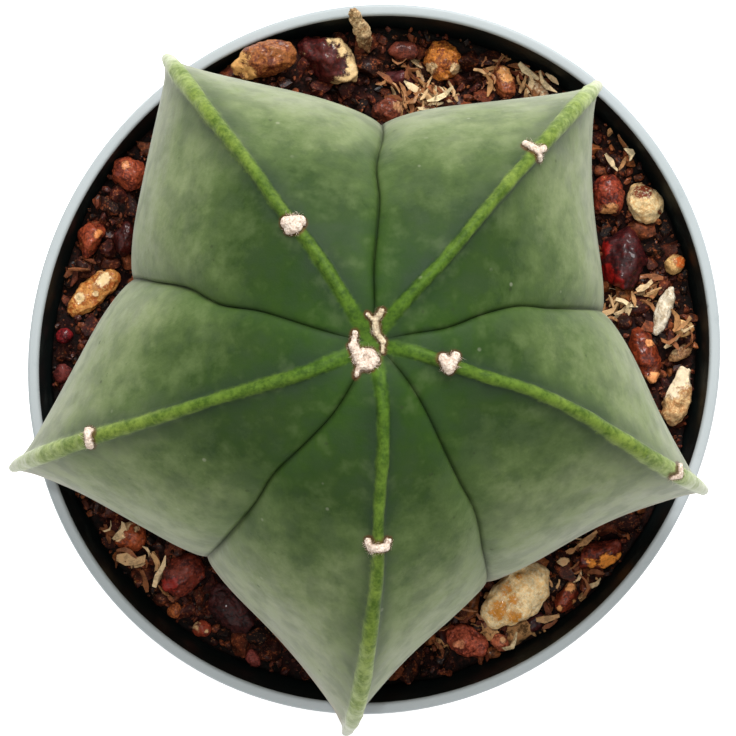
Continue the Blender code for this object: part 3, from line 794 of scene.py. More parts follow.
def cord_shape(spot, crest, latitude):
    """Return the radius of the cord's round top, and how high it stands over the bare crest."""
    knob = noise.noise(crest / CORD_KNOB) + 0.4 * noise.noise(crest / CORD_GRAIN)
    knob += 0.25 * noise.noise(spot / CORD_GRAIN)
    below_crown = smooth((CROWN - latitude) / CORD_FADE)
    grown = smooth((latitude - CORD_START) / CORD_GROWTH)
    grown *= CORD_AT_CROWN + (1 - CORD_AT_CROWN) * below_crown
    slender = 1 - TIP_SLENDER * math.exp(-((latitude / BEAK_SPREAD) ** 2))
    half_width = CORD_HALF_WIDTH * (1 + KNOBBY_WIDTH * knob) * slender * cord_swell(latitude)
    rise = max(CORD_RISE * grown * slender * (1 + KNOBBY_RISE * knob) * cord_swell(latitude), 0.02 * MM)
    return (half_width**2 + rise**2) / (2 * rise), rise


def cord_foot(rib_number, side, spot, latitude):
    """Return the place on the crest that lies square to a spot, which way it faces, and its latitude."""
    small = 0.001
    for _ in range(FOOT_STEPS):
        crest, _ = bare_skin(rib_number, side, 1.0, latitude)
        above, _ = bare_skin(rib_number, side, 1.0, latitude + small)
        run = (above - crest) / small
        latitude = min(latitude + (spot - crest).dot(run) / run.length_squared, math.pi / 2 - small)
    crest, out = bare_skin(rib_number, side, 1.0, latitude)
    return crest, skin_direction(out, latitude, RIBS[rib_number].reach), latitude


def beak_rise(latitude):
    """Return how far the beak lifts the crest at a latitude."""
    return BEAK_RISE * math.exp(-((latitude / BEAK_SPREAD) ** 2))


def on_cord(spot, crest, faces, radius, rise):
    """Return a corner's place on the cord, or its own place where the cord doesn't reach it."""
    along = spot - crest
    distance = along.length
    if distance < 1e-9:
        return crest + rise * faces
    along /= distance
    down = min(max(-along.dot(faces), 0.0), 0.999)
    sideways = (along + down * faces).normalized()
    axis = rise - radius
    meeting = math.sqrt(max(radius**2 - (1 - down**2) * axis**2, 0.0)) - down * axis
    if distance >= meeting:
        return spot
    end_turn = math.atan2(meeting * math.sqrt(1 - down**2), -meeting * down - axis)
    turn = end_turn * distance / meeting
    return crest + axis * faces + radius * (math.cos(turn) * faces + math.sin(turn) * sideways)


# %% Shape the ball into the plant
FLANK_STEPS = 36
SKIN_RINGS = 230
LOWER_RINGS = 56
WOOL_LOWEST = 0.3
CROWN_CAP = 1.4
FAR_FROM_WOOL = 5.0


def flank_shares():
    """Return how far each corner of a flank lies from the crease (0) to the crest (1).

    The corners lie closer together at both ends, where the crease and the cord need them.
    """
    shares = [0.0]
    for step in range(FLANK_STEPS):
        middle = (step + 0.5) / FLANK_STEPS
        shares.append(shares[-1] + min(0.3 + 5 * middle, 1.0, 0.08 + 14 * (1 - middle) ** 2))
    return [share / shares[-1] for share in shares]


def ring_latitude(ring):
    """Return the latitude of a ring. The rings above the widest level lie closer together."""
    if ring <= LOWER_RINGS:
        return -math.pi / 2 * (1 - ring / LOWER_RINGS)
    return math.pi / 2 * (ring - LOWER_RINGS) / (SKIN_RINGS - LOWER_RINGS)


def skin_corner(rib_number, side, share, latitude):
    """Return a corner of the finished skin, and its distances from the crest and the crease."""
    spot, _ = bare_skin(rib_number, side, share, latitude)
    crest, out = bare_skin(rib_number, side, 1.0, latitude)
    crease, _ = bare_skin(rib_number, side, 0.0, latitude)
    from_crest, from_crease = (spot - crest).length, (spot - crease).length
    faces = skin_direction(out, latitude, RIBS[rib_number].reach)
    place = spot + beak_rise(latitude) * math.exp(-((from_crest / BEAK_WIDTH) ** 2)) * faces
    if from_crest < CORD_REACH:
        foot, foot_faces, foot_latitude = cord_foot(rib_number, side, spot, latitude)
        radius, rise = cord_shape(spot, foot, foot_latitude)
        raised_foot = foot + beak_rise(foot_latitude) * foot_faces
        place = on_cord(place, raised_foot, foot_faces, radius, rise)
    fading = smooth((CROWN - latitude) / CREASE_FADE)
    cut = ring_at(latitude)[2] * math.exp(-from_crease / CREASE_WIDTH) * fading
    wave = noise.noise(spot / WAVE_LENGTH) * smooth((from_crest - CORD_HALF_WIDTH) / WAVE_FADE)
    return place + (WAVE_HEIGHT * wave - CREASE_CUT * cut) * faces, from_crest, from_crease


def shape_body():
    """Make the plant's body from a ball, and note at each corner what its colours need."""
    shares = flank_shares()
    segments = 2 * FLANK_STEPS * len(RIBS)
    add = bpy.ops.mesh.primitive_uv_sphere_add
    made = new_primitive(add, "cactus_fine", segments=segments, ring_count=SKIN_RINGS, radius=1.0)
    notes = {name: [] for name in ("crest", "crease", "climb", "wool")}
    for corner in made.data.vertices:
        ring = round((math.asin(max(-1.0, min(1.0, corner.co.z))) / math.pi + 0.5) * SKIN_RINGS)
        latitude = ring_latitude(ring)
        number = round(math.atan2(corner.co.y, corner.co.x) / (2 * math.pi) * segments) % segments
        rib_number, step = divmod(number, 2 * FLANK_STEPS)
        side = -1 if step <= FLANK_STEPS else 1
        share = shares[step] if side < 0 else shares[2 * FLANK_STEPS - step]
        corner.co, from_crest, from_crease = skin_corner(rib_number, side, share, latitude)
        near_wool = latitude > WOOL_LOWEST and (from_crest < CORD_REACH or latitude > CROWN_CAP)
        notes["crest"].append(from_crest / MM / cord_swell(max(latitude, 0.0)))
        notes["crease"].append(from_crease / MM)
        notes["climb"].append(latitude / (math.pi / 2))
        notes["wool"].append(from_wool(corner.co.xy) / MM if near_wool else FAR_FROM_WOOL)
    for name, values in notes.items():
        note(made, name, values)
    return made


body = shape_body()
shade(body)
print("plant body:", triangles(body), "triangles")

# %% [markdown]
# ## The skin's finish
#
# The outer flanks wear a pale bloom over grey-green skin, and the young skin round the crown is dark green
# and clean. Beside each cord runs a darker, bluish band of painted shade, where the flank falls steeply away
# from the cord, and the creases are darkened with painted shade too. The cord itself is fresh green that
# pales towards the beak. The bloom is patchy at several sizes, from thumb-wide clouds down to specks, so
# noise at each of those sizes shifts the place where one colour turns into the next.

# %% Skin colours by height
SKIN_COLOURS = (
    (0.00, 144, 143, 126),
    (0.08, 140, 144, 124),
    (0.22, 133, 140, 111),
    (0.39, 110, 122, 82),
    (0.55, 73, 90, 48),
    (0.70, 42, 62, 22),
    (0.88, 31, 57, 9),
)
CORD_PALE = (
    (0.00, 206, 207, 196),
    (0.14, 194, 198, 176),
    (0.28, 160, 172, 116),
    (0.45, 120, 138, 58),
    (0.70, 92, 116, 38),
    (0.92, 74, 104, 26),
)
CORD_DEEP = (
    (0.00, 180, 184, 166),
    (0.14, 160, 168, 134),
    (0.28, 104, 122, 62),
    (0.45, 66, 88, 26),
    (0.70, 52, 76, 16),
    (0.92, 42, 68, 12),
)


# %% Skin finish
def skin_finish():
    """Bloomed grey-green skin, darker towards the crown, with green cords, and painted shade beside the
    cords and in the creases.
    """
    finish = Finish("cactus_skin")
    crest = finish.attribute("crest")
    crease = finish.attribute("crease")
    climb = finish.attribute("climb")
    clouds = finish.noise(7.0, 3.0)
    patches = finish.noise(1.8, 5.0, 0.7)
    specks = finish.noise(0.36, 2.0, 0.6)
    grain = finish.noise(0.18, 1.0)
    height = climb + 0.34 * (clouds - 0.5) + 0.26 * (patches - 0.5) + 0.05 * (specks - 0.5)
    finish.colour = finish.ramp(height, SKIN_COLOURS)
    # Painted shade: a darker, bluish band beside each cord, where the flank falls steeply away from it.
    painted_cord_shade = finish.fade(crest + 3.4 * (patches - 0.5), 3.9, 0.8) * finish.fade(climb, 0.12, 0.40)
    finish.cover(0.50 * painted_cord_shade, 30, 43, 32)
    glow = finish.fade(crease + 3.0 * (patches - 0.5), 3.6, 0.5) * finish.fade(climb, 0.10, 0.45)
    finish.cover(0.42 * glow, 46, 74, 18)
    # Painted shade: the creases are darkened, where shade falls in the cut.
    painted_crease_shade = finish.fade(crease + 0.3 * (specks - 0.5), 0.70, 0.08) * finish.fade(climb, -0.1, 0.25)
    finish.cover(0.62 * painted_crease_shade, 18, 32, 8)
    stains = finish.noise(2.6, 3.0, 0.55)
    finish.cover(0.26 * finish.fade(stains, 0.58, 0.34), 40, 54, 42)
    finish.cover(0.10 * finish.fade(stains, 0.50, 0.74), 136, 152, 104)
    edge = finish.fade(climb + 0.08 * (stains - 0.5), 0.08, 0.0)
    finish.cover(0.22 * edge, 186, 162, 140)
    belly = finish.fade(climb + 0.30 * (stains - 0.5), 0.0, -0.40)
    finish.cover(0.50 * belly, 140, 126, 96)
    tint = finish.fade(0.35 * specks + 0.65 * finish.noise(1.4, 4.0, 0.65), 0.34, 0.66)
    cord_colour = finish.mix(tint, finish.ramp(height, CORD_DEEP), finish.ramp(height, CORD_PALE))
    cord_edge = crest + 1.1 * (patches - 0.5) + 0.7 * (specks - 0.5)
    cord = finish.fade(cord_edge, 1.25, 0.50) * finish.fade(climb, -0.16, -0.02)
    finish.colour = finish.mix(0.95 * cord, finish.colour, cord_colour)
    flecks = finish.fade(finish.cells(1.9), 0.15, 0.06) * finish.fade(patches, 0.50, 0.62)
    finish.cover(0.5 * flecks, 40, 46, 28)
    pale_flecks = finish.fade(finish.cells(2.7), 0.10, 0.04) * finish.fade(clouds, 0.50, 0.62)
    finish.cover(0.30 * pale_flecks, 170, 170, 150)
    margin = finish.fade(finish.attribute("wool") + 0.3 * (specks - 0.5), 0.30, 0.0)
    finish.cover(0.75 * margin, 84, 50, 30)
    cork = finish.fade(climb + 0.25 * (patches - 0.5), -0.22, -0.56)
    finish.cover(cork, 118, 98, 70)
    pores = finish.bump(grain, 0.15, 0.03)
    normal = finish.bump(patches, 0.5, 0.14, pores)
    finish.set(Subsurface_Weight=0.03, Subsurface_Radius=(0.0012, 0.0016, 0.0006), Specular_IOR_Level=0.12)
    return finish.set(Base_Color=finish.colour, Roughness=0.5 + 0.16 * patches, Normal=normal)


body.data.materials.append(skin_finish())
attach(body, "root")
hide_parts("cactus")
print("skin finish on", body.name)

# %% [markdown]
# ## Felt and hairs
#
# A pad is cream felt, brown where it meets the skin, with curled hairs that stand out of it. Every stroke
# becomes a rod of balls laid on the skin. The rods are melted into one body by a voxel remesh, which works
# like pressing felt, and the hairs are combed along the strokes.


# %% Find the skin below a place
def surface_tree(piece):
    """Return a search tree of a piece's surface.

    A primitive's faces can come in another order each time, so they are sorted by their corners' places.
    Then a search that meets two faces at once always returns the same one.
    """
    corners = [tuple(corner.co) for corner in piece.data.vertices]
    faces = []
    for face in piece.data.polygons:
        ring = list(face.vertices)
        first = ring.index(min(ring, key=corners.__getitem__))
        faces.append(ring[first:] + ring[:first])
    faces.sort(key=lambda ring: [corners[number] for number in ring])
    return BVHTree.FromPolygons(corners, faces)


ABOVE_ALL = 200 * MM
body_tree = surface_tree(body)


def on_skin(place):
    """Return the point of the skin below a place on the plan, and which way the skin faces there."""
    spot, facing, _, _ = body_tree.ray_cast(Vector((place.x, place.y, ABOVE_ALL)), Vector((0, 0, -1)))
    return spot, facing


print("skin height at the crown in mm:", round(on_skin(CROWN_CENTRE)[0].z / MM, 1))

# %% Felt pads
FELT_VOXEL = 0.07 * MM
FELT_LIFT = 0.25
FELT_SHARE = 0.92
FELT_STEP = 0.45
FELT_TANGLE = 0.075 * MM


def make_felt():
    """Lay balls of wool along the strokes, as one mesh."""
    ball = new_primitive(bpy.ops.mesh.primitive_ico_sphere_add, "ball", subdivisions=3, radius=1.0)
    felt = bmesh.new()
    for start, end, full_radius in strokes:
        radius = FELT_SHARE * full_radius
        count = max(2, math.ceil((end - start).length / (FELT_STEP * radius)) + 1)
        for step in range(count):
            spot, facing = on_skin(start.lerp(end, step / (count - 1)))
            lifted = Matrix.Translation(spot + FELT_LIFT * radius * facing)
            add_copy(felt, ball, lifted @ Matrix.Scale(radius, 4))
    bpy.data.objects.remove(ball, do_unlink=True)
    return joined_piece(felt, "wool_felt")


felt = make_felt()
apply_modifier(felt, "REMESH", mode="VOXEL", voxel_size=FELT_VOXEL)
apply_modifier(felt, "SMOOTH", factor=0.5, iterations=2)
for corner in felt.data.vertices:
    tangle = noise.noise(corner.co / (0.17 * MM)) + 0.7 * noise.noise(corner.co / (0.5 * MM))
    corner.co += FELT_TANGLE * tangle * corner.normal
shade(felt)
print("felt:", triangles(felt), "triangles")

# %% [markdown]
# A hair is modelled once, as a thin three-sided cone bent into a hook. A handful of hooks with different
# curls is enough, because each copy is turned, stretched and leaned its own way.

# %% One hair
HAIR_RADIUS = 0.02 * MM
HAIR_LENGTH = 0.7 * MM
HAIR_TIP = 0.35
HAIR_WAVE = 0.12
HAIR_MODELS = 6
HAIR_CUTS = 5


def make_hair(number, bend, twist):
    """Make one bent hair, one unit long, which starts at the origin and runs up."""
    radius = HAIR_RADIUS / HAIR_LENGTH
    add = bpy.ops.mesh.primitive_cone_add
    sizes = {"vertices": 3, "radius1": radius, "radius2": HAIR_TIP * radius, "depth": 1.0}
    hair = new_primitive(add, f"hair_{number}", location=(0, 0, 0.5), **sizes)
    settle(hair)
    bpy.ops.object.mode_set(mode="EDIT")
    for cut in range(1, HAIR_CUTS + 1):
        bpy.ops.mesh.select_all(action="SELECT")
        bpy.ops.mesh.bisect(plane_co=(0, 0, cut / (HAIR_CUTS + 1)), plane_no=(0, 0, 1))
    bpy.ops.object.mode_set(mode="OBJECT")
    for corner in hair.data.vertices:
        along = corner.co.z
        corner.co.x += (1 - math.cos(bend * along)) / bend
        corner.co.y += HAIR_WAVE * math.sin(twist * along)
        corner.co.z = math.sin(bend * along) / bend
    return hair


hair_models = [make_hair(number, 0.7 + 0.45 * number, 3.0 + number) for number in range(HAIR_MODELS)]
print("one hair:", triangles(hair_models[0]), "triangles")

# %% Comb the hairs
HAIR_DENSITY = 130
HAIR_SEED = 5


def copies_joined(name, models, placed):
    """Join copies of a few models into one piece. Each has a model, a matrix and a tone from 0 to 1."""
    joined = bmesh.new()
    tone = joined.verts.layers.float.new("tone")
    for number, matrix, value in placed:
        first = len(joined.verts)
        add_copy(joined, models[number], matrix)
        joined.verts.ensure_lookup_table()
        for corner in joined.verts[first:]:
            corner[tone] = value
    return joined_piece(joined, name)


def aimed(spot, direction, roll, length):
    """Return the matrix that puts a unit-long model at a spot, along a direction."""
    turn = direction.to_track_quat("Z", "X").to_matrix().to_4x4()
    return Matrix.Translation(spot) @ turn @ Matrix.Rotation(roll, 4, "Z") @ Matrix.Scale(length, 4)


def comb_hairs():
    """Return the places of all hairs, combed along the strokes and lifted out of the felt."""
    draw = random.Random(HAIR_SEED)
    placed = []
    for start, end, radius in strokes:
        run = end - start
        aside = Vector((-run.y, run.x)).normalized()
        for _ in range(round(HAIR_DENSITY * (run.length + radius) * radius / MM**2)):
            offset = draw.uniform(-0.9, 0.9)
            spot, facing = on_skin(start.lerp(end, draw.random()) + offset * radius * aside)
            way = run.normalized() * draw.choice((-1, 1)) * draw.uniform(0.2, 1.1)
            way = way + aside * (offset * draw.uniform(0.3, 1.2) + draw.uniform(-0.4, 0.4))
            lean = Vector((way.x, way.y, 0)) + facing * draw.uniform(0.1, 0.7)
            root = spot + facing * radius * draw.uniform(0.1, 0.8) * (1 - 0.6 * abs(offset))
            length = draw.uniform(0.5, 1.1) * min(HAIR_LENGTH, 0.3 * MM + radius)
            if root.z + length < cad_high.z:
                matrix = aimed(root, lean.normalized(), draw.uniform(0, 2 * math.pi), length)
                placed.append((draw.randrange(HAIR_MODELS), matrix, draw.random()))
    return placed


hairs = copies_joined("wool_hairs", hair_models, comb_hairs())
for model in hair_models:
    bpy.data.objects.remove(model, do_unlink=True)
shade(hairs)
print("hairs:", triangles(hairs), "triangles")


# %% Wool finish
# The second tuft's place beside the crown's middle, in millimetres.
TUFT_SPAN = (2.0, 3.6)
TUFT_SLANT = 0.33
TUFT_LINE = 0.4


def height_over_skin(place):
    """Return how far above the skin a place lies, in millimetres."""
    return body_tree.find_nearest(place)[3] / MM


def on_second_tuft(place):
    """Return 1 on the crown's second tuft, which lies right of a slanted line, and 0 elsewhere."""
    x, y = (place.xy - CROWN_CENTRE) / MM
    near_crown = abs(x) < TUFT_SPAN[0] and abs(y) < TUFT_SPAN[1]
    return float(near_crown and x + TUFT_SLANT * y > TUFT_LINE)


def wool_finish():
    """Cream wool, beige on the older tuft and brown at its roots, with fine tangled relief."""
    finish = Finish("wool")
    over = finish.attribute("over_skin")
    tangle = finish.noise(0.22, 4.0, 0.7)
    tint = finish.noise(0.9, 2.0)
    finish.colour = finish.ramp(tint, ((0.35, 208, 188, 172), (0.65, 230, 216, 200)))
    finish.cover(0.7 * finish.attribute("older"), 196, 182, 142)
    finish.cover(0.65 * finish.fade(tangle, 0.55, 0.40), 150, 122, 100)
    finish.cover(0.8 * finish.fade(over + 0.24 * (tint - 0.5), 0.24, 0.04), 110, 80, 44)
    normal = finish.bump(tangle, 0.6, 0.08)
    finish.set(Roughness=0.85, Subsurface_Weight=0.1, Subsurface_Radius=(0.0005, 0.0004, 0.0003))
    return finish.set(Base_Color=finish.colour, Normal=normal)


wool_material = wool_finish()
for piece in (felt, hairs):
    note(piece, "over_skin", [height_over_skin(corner.co) for corner in piece.data.vertices])
    note(piece, "older", [on_second_tuft(corner.co) for corner in piece.data.vertices])
    piece.data.materials.append(wool_material)
    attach(piece, "root")
print("wool on", len(PADS) + 1, "places")

# %% [markdown]
# ## The soil
#
# Damp peat fills the pot to some five millimetres below the rim. Its top is lumpy at every size: heaps,
# clods and crumbs. The plug is a cylinder whose top face is inset again and again, which gives rings of
# corners to lift, and each corner's height is a sum of noises of different sizes.


# %% Level of the soil
SOIL_LEVEL = 56.5 * MM
SOIL_SIDE_RISE = 0.9 * MM
SOIL_BACK_RISE = 0.5 * MM
LUMP_HEIGHT = 1.1 * MM
LUMP_SIZE = 4.5 * MM
SOIL_GAP = 0.3 * MM


class Mound(NamedTuple):
    """A heap in the soil: where it is, its height and its radius, in millimetres."""

    x: float
    y: float
    height: float
    radius: float


MOUNDS = (Mound(-10.4, 28.6, 3.6, 4.6), Mound(0.0, 30.6, 2.0, 2.6), Mound(-27.0, 15.8, 1.3, 5.0))


def ground(x, y):
    """Return the height of the soil's top at a place on the plan."""
    height = SOIL_LEVEL + LUMP_HEIGHT * noise.noise(Vector((x, y, 0.0)) / LUMP_SIZE)
    height += SOIL_SIDE_RISE * (x / RIM_RADIUS) ** 2 + SOIL_BACK_RISE * y / RIM_RADIUS
    for mound in MOUNDS:
        away = ((x / MM - mound.x) ** 2 + (y / MM - mound.y) ** 2) / mound.radius**2
        height += mound.height * MM * math.exp(-away)
    return height


def crumbled(x, y):
    """Return the height of the soil's top with its clods and crumbs."""
    clod = noise.voronoi(Vector((x, y, 0.0)) / (2.4 * MM))[0][0]
    crumb = noise.voronoi(Vector((x, y, 3.0 * MM)) / (0.95 * MM))[0][0]
    grain = noise.noise(Vector((x, y, 0.0)) / (0.5 * MM))
    return ground(x, y) + MM * (0.55 * (0.45 - clod) + 0.42 * (0.4 - crumb) + 0.10 * grain)


# %% Soil plug
SOIL_SEGMENTS = 300
SOIL_RING_STEP = 0.42 * MM
SOIL_INSETS = 56


def make_soil():
    """Make the plug of soil: a cylinder with many rings on its top, whose corners are then lifted."""
    foot = inner_radius(INNER_FOOT) - SOIL_GAP
    low = FLOOR_THICKNESS + SOIL_GAP
    top_radius = inner_radius(SOIL_LEVEL) - SOIL_GAP
    levels = [(foot - FLOOR_THICKNESS, low), (foot, low + FLOOR_THICKNESS), (top_radius, SOIL_LEVEL)]
    soil = pull_up("soil_fine", levels, SOIL_SEGMENTS)
    bpy.ops.object.mode_set(mode="EDIT")
    bpy.ops.mesh.select_mode(type="FACE")
    bpy.ops.mesh.select_all(action="DESELECT")
    bpy.ops.object.mode_set(mode="OBJECT")
    for face in soil.data.polygons:
        face.select = face.normal.z > 0.9
    bpy.ops.object.mode_set(mode="EDIT")
    for _ in range(SOIL_INSETS):
        bpy.ops.mesh.inset(thickness=SOIL_RING_STEP, depth=0)
    bpy.ops.mesh.poke()
    bpy.ops.object.mode_set(mode="OBJECT")
    for corner in soil.data.vertices:
        if corner.co.z > SOIL_LEVEL - 0.01 * MM:
            height = crumbled(corner.co.x, corner.co.y)
            share = (inner_radius(height) - SOIL_GAP) / top_radius
            corner.co = Vector((corner.co.x * share, corner.co.y * share, height))
        corner.co = squeezed(corner.co)
    return soil


soil = make_soil()
shade(soil)
print("soil:", triangles(soil), "triangles")


# %% Soil finish
def soil_finish():
    """Damp peat: nearly black, with maroon and brown crumbs, a wet sheen on the crumbs' tops, and painted
    shade along the pot's wall.
    """
    finish = Finish("soil")
    crumbs = finish.noise(0.9, 5.0, 0.7)
    tint = finish.noise(3.2, 3.0)
    grains = finish.cells(0.55)
    tones = ((0.38, 8, 4, 3), (0.50, 24, 11, 8), (0.60, 52, 22, 14), (0.72, 96, 48, 28))
    finish.colour = finish.ramp(crumbs, tones)
    finish.cover(0.6 * finish.fade(tint, 0.50, 0.64), 34, 9, 9)
    finish.cover(0.6 * finish.fade(grains, 0.18, 0.08), 128, 70, 40)
    # Painted shade: the soil turns near black next to the pot's wall, where the wall shades it.
    sides = [finish.node("ShaderNodeSeparateXYZ", {}, {0: finish.millimetres()}, axis) for axis in (0, 1)]
    painted_wall_shade = finish.fade(sides[0] * sides[0] + sides[1] * sides[1], 31.5**2, 33.2**2)
    finish.cover(0.8 * painted_wall_shade, 9, 11, 9)
    normal = finish.bump(finish.noise(0.35, 3.0, 0.7), 0.8, 0.2)
    finish.set(Specular_IOR_Level=0.1)
    return finish.set(Base_Color=finish.colour, Roughness=0.8 - 0.2 * crumbs, Normal=normal)


soil.data.materials.append(soil_finish())
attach(soil, "root")
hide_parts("soil")
print("soil finish on", soil.name)

# %% [markdown]
# ## The stones
#
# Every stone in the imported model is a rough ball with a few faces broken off, already in its place. A
# stone grows its fine surface on a copy of that solid: the copy's loose triangles are merged, subdivided
# and smoothed, and then lumps, dents, pores and grain are pushed up one after another. Copying keeps each
# stone exactly where it lies in the soil, and one table of looks gives each its own colours.


# %% Looks
class Look(NamedTuple):
    """How a stone looks: its colours, where its patches lie, how porous and how wet it is."""

    base: tuple
    blotch: tuple
    accent: tuple = (0, 0, 0)
    patches: tuple = ()
    pores: float = 0.3
    wet: float = 0.5
    blotch_share: float = 0.45


LOOKS = {
    "stone_tan": Look(
        (150, 90, 46), (92, 40, 22), (214, 162, 96), ((-3.2, -0.5, 1.5), (-1.6, -1.6, 0.8)), 0.25, 0.8
    ),
    "stone_maroon_cream": Look(
        (82, 28, 24), (48, 14, 14), (222, 190, 138),
        ((0.6, 1.9, 0.7), (1.9, 1.1, 0.9), (2.8, -0.2, 0.9), (2.6, -1.6, 0.9), (1.3, -2.5, 0.7)), 0.2, 0.8,
    ),
    "chip_over_rim": Look((206, 176, 134), (150, 116, 78), (122, 84, 54), ((0.6, -1.6, 0.8),), 0.5, 0.1),
    "stone_red_brown": Look((118, 56, 40), (70, 30, 24)),
    "stone_oval": Look((82, 34, 34), (48, 18, 20), wet=0.7),
    "stone_orange": Look(
        (204, 124, 50), (122, 58, 26), (228, 196, 150), ((-1.2, -0.9, 0.6), (1.2, -0.8, 0.5)), 0.5, 0.6
    ),
    "bark_flake": Look((206, 166, 122), (130, 84, 52), pores=0.5, wet=0.2),
    "bark_block": Look((122, 60, 40), (64, 30, 22), (178, 130, 90), ((1.2, 0.4, 0.6),), 0.5, 0.4),
    # Painted highlight: the accent patch near the top stands for a highlight.
    "stone_orange_brown": Look((162, 88, 50), (98, 42, 26), (226, 160, 94), ((0.1, 1.0, 0.8),), 0.4, 0.7),
    "chip_cream_slanted": Look((220, 190, 156), (176, 132, 92), pores=0.3, wet=0.2),
    "stone_rust_right": Look((140, 56, 34), (74, 26, 20), (196, 136, 84), ((0.0, -1.8, 0.8),), 0.4, 0.7),
    "stone_cream_round": Look(
        (228, 202, 152), (214, 172, 116), (104, 40, 14),
        ((-0.3, 1.2, 0.85), (1.4, -0.9, 0.22), (0.5, -2.3, 0.3)), 0.12, 0.4,
    ),
    "stone_dark_red": Look(
        (66, 18, 18), (36, 10, 12), (126, 18, 14),
        ((-2.3, 1.0, 0.9), (-1.6, -1.6, 0.9), (-0.6, -2.6, 0.5)), 0.15, 0.8,
    ),
    "chip_tan_twisted": Look((206, 164, 104), (146, 96, 54), (196, 94, 34), ((0.8, 0.3, 0.6),), 0.3, 0.4),
    "chip_white_long": Look((220, 208, 184), (192, 172, 142), pores=0.15, wet=0.2),
    "chip_tan_three_sided": Look((222, 176, 120), (176, 112, 60), pores=0.25, wet=0.4),
    "chip_brown": Look((164, 124, 84), (104, 68, 42), (204, 174, 130), ((-0.7, 0.2, 0.4),), 0.5, 0.4),
    "stone_glossy_red": Look(
        (124, 50, 24), (70, 24, 14), (236, 160, 100), ((1.1, -2.7, 1.0), (0.4, 1.2, 0.4)), 0.1, 1.0
    ),
    "stone_cream_long": Look(
        (212, 174, 124), (178, 126, 78), (224, 204, 172), ((0.6, 2.2, 1.6), (-0.5, 0.6, 0.7)), 0.15, 0.3
    ),
    "stone_pale_large": Look(
        (252, 224, 172), (244, 200, 134), (206, 136, 50),
        ((-1.0, 0.6, 0.6), (-1.7, -1.5, 0.9), (-0.4, -0.4, 0.5), (0.3, 1.9, 0.4), (-0.3, -2.2, 0.7)),
        0.15, 0.4,
    ),
    "stone_brick": Look((184, 88, 62), (104, 40, 28), (220, 140, 100), ((-0.8, -0.4, 0.5),), 0.4, 0.6),
    "chip_brick": Look((196, 108, 74), (130, 60, 40), (236, 180, 130), ((0.3, 0.2, 0.3),), 0.3, 0.6),
    "stone_maroon_small": Look((70, 26, 26), (40, 14, 16), wet=0.7),
    # Painted highlight: the largest accent patch, near the top, is a glint.
    "chip_orange_brown": Look(
        (150, 62, 36), (84, 32, 22), (244, 170, 106),
        ((0.5, 1.0, 0.55), (-0.7, -1.2, 0.3), (0.9, -0.6, 0.3)), 0.2, 0.8,
    ),
    "stone_orange_red": Look(
        (116, 44, 28), (60, 20, 16), (244, 152, 64),
        ((0.6, -0.7, 0.8), (-0.9, -1.0, 0.5), (2.0, -0.2, 0.4)), 0.2, 0.9,
    ),
    "chip_tan_white": Look(
        (166, 78, 40), (104, 44, 24), (236, 200, 150),
        ((-1.2, 0.2, 0.6), (-0.6, 1.2, 0.55), (0.8, 0.8, 0.3)), 0.3, 0.6,
    ),
    "stone_red_large": Look((122, 50, 34), (66, 24, 20), (140, 38, 30), ((-1.3, -1.0, 0.8),), 0.35, 0.7),
    "stone_rust_round": Look((166, 76, 46), (98, 38, 26), (216, 140, 90), ((-0.4, 0.8, 0.4),), 0.4, 0.6),
    "stone_rust_left": Look((158, 70, 40), (86, 30, 20), (222, 140, 80), ((0.7, 0.5, 0.4),), 0.35, 0.7),
    "stone_dark_left": Look((70, 22, 18), (38, 12, 10), wet=0.9, pores=0.2),
    "stone_yellow": Look(
        (226, 156, 84), (176, 92, 38), (246, 214, 160),
        ((0.9, 1.2, 0.8), (-1.4, -0.6, 0.5), (0.2, -0.2, 0.3)), 0.2, 0.7,
    ),
    "grain_crimson": Look((122, 24, 28), (66, 14, 18), wet=0.8),
    "grain_red_left": Look((108, 44, 38), (64, 24, 22)),
    "stone_dark_slab": Look((60, 24, 22), (30, 12, 12), wet=0.3, pores=0.6),
    "grain_cream_rimmed": Look(
        (160, 66, 42), (104, 36, 26), (220, 180, 130), ((-0.7, 0.5, 0.5), (0.5, -0.3, 0.2)), 0.2, 0.7
    ),
    "grain_red_low": Look((138, 64, 56), (84, 34, 30)),
    "grain_ochre": Look((188, 104, 54), (120, 58, 32)),
}
stone_names = sorted(set(frame["nodes"]) - {"pot", "soil", "cactus"})
print(len(stone_names), "stones,", len(set(stone_names) - set(LOOKS)), "without a look")


# %% Grow the fine surface
def displacement(name, kind, size):
    """Return a texture that only shapes a surface, with features of this size in metres."""
    texture = bpy.data.textures.new(name, kind)
    texture.noise_scale = size
    return texture


LUMPS = displacement("lumps", "CLOUDS", 1.8 * MM)
DENTS = displacement("dents", "CLOUDS", 0.7 * MM)
GRAIN = displacement("grain", "CLOUDS", 0.28 * MM)
PORES = displacement("pores", "VORONOI", 0.5 * MM)
LARGE_STONE = 3.2 * MM
# Lumps and dents are a share of the stone's size, up to a most. Only a stone past PORED has pores.
LUMPS_MOST, LUMPS_SHARE = 1.0 * MM, 0.18
DENTS_MOST, DENTS_SHARE = 0.40 * MM, 0.10
SMOOTH_DENTS = 0.3
PORED = 0.35
PORE_DEPTH, PORE_LEVEL = 0.30 * MM, 0.35
GRAIN_HEIGHT = 0.16 * MM
SOLID_WELD = 0.001 * MM
PATCH_REACH = 1.6


def merged_copy(node, name):
    """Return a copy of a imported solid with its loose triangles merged."""
    mesh = frame["nodes"][node].data.copy()
    mesh.materials.clear()
    piece = pick(show(mesh, name))
    if mesh.has_custom_normals:
        bpy.ops.mesh.customdata_custom_splitnormals_clear()
    bpy.ops.object.mode_set(mode="EDIT")
    bpy.ops.mesh.select_all(action="SELECT")
    bpy.ops.mesh.remove_doubles(threshold=SOLID_WELD)
    bpy.ops.mesh.normals_make_consistent(inside=False)
    bpy.ops.object.mode_set(mode="OBJECT")
    return piece


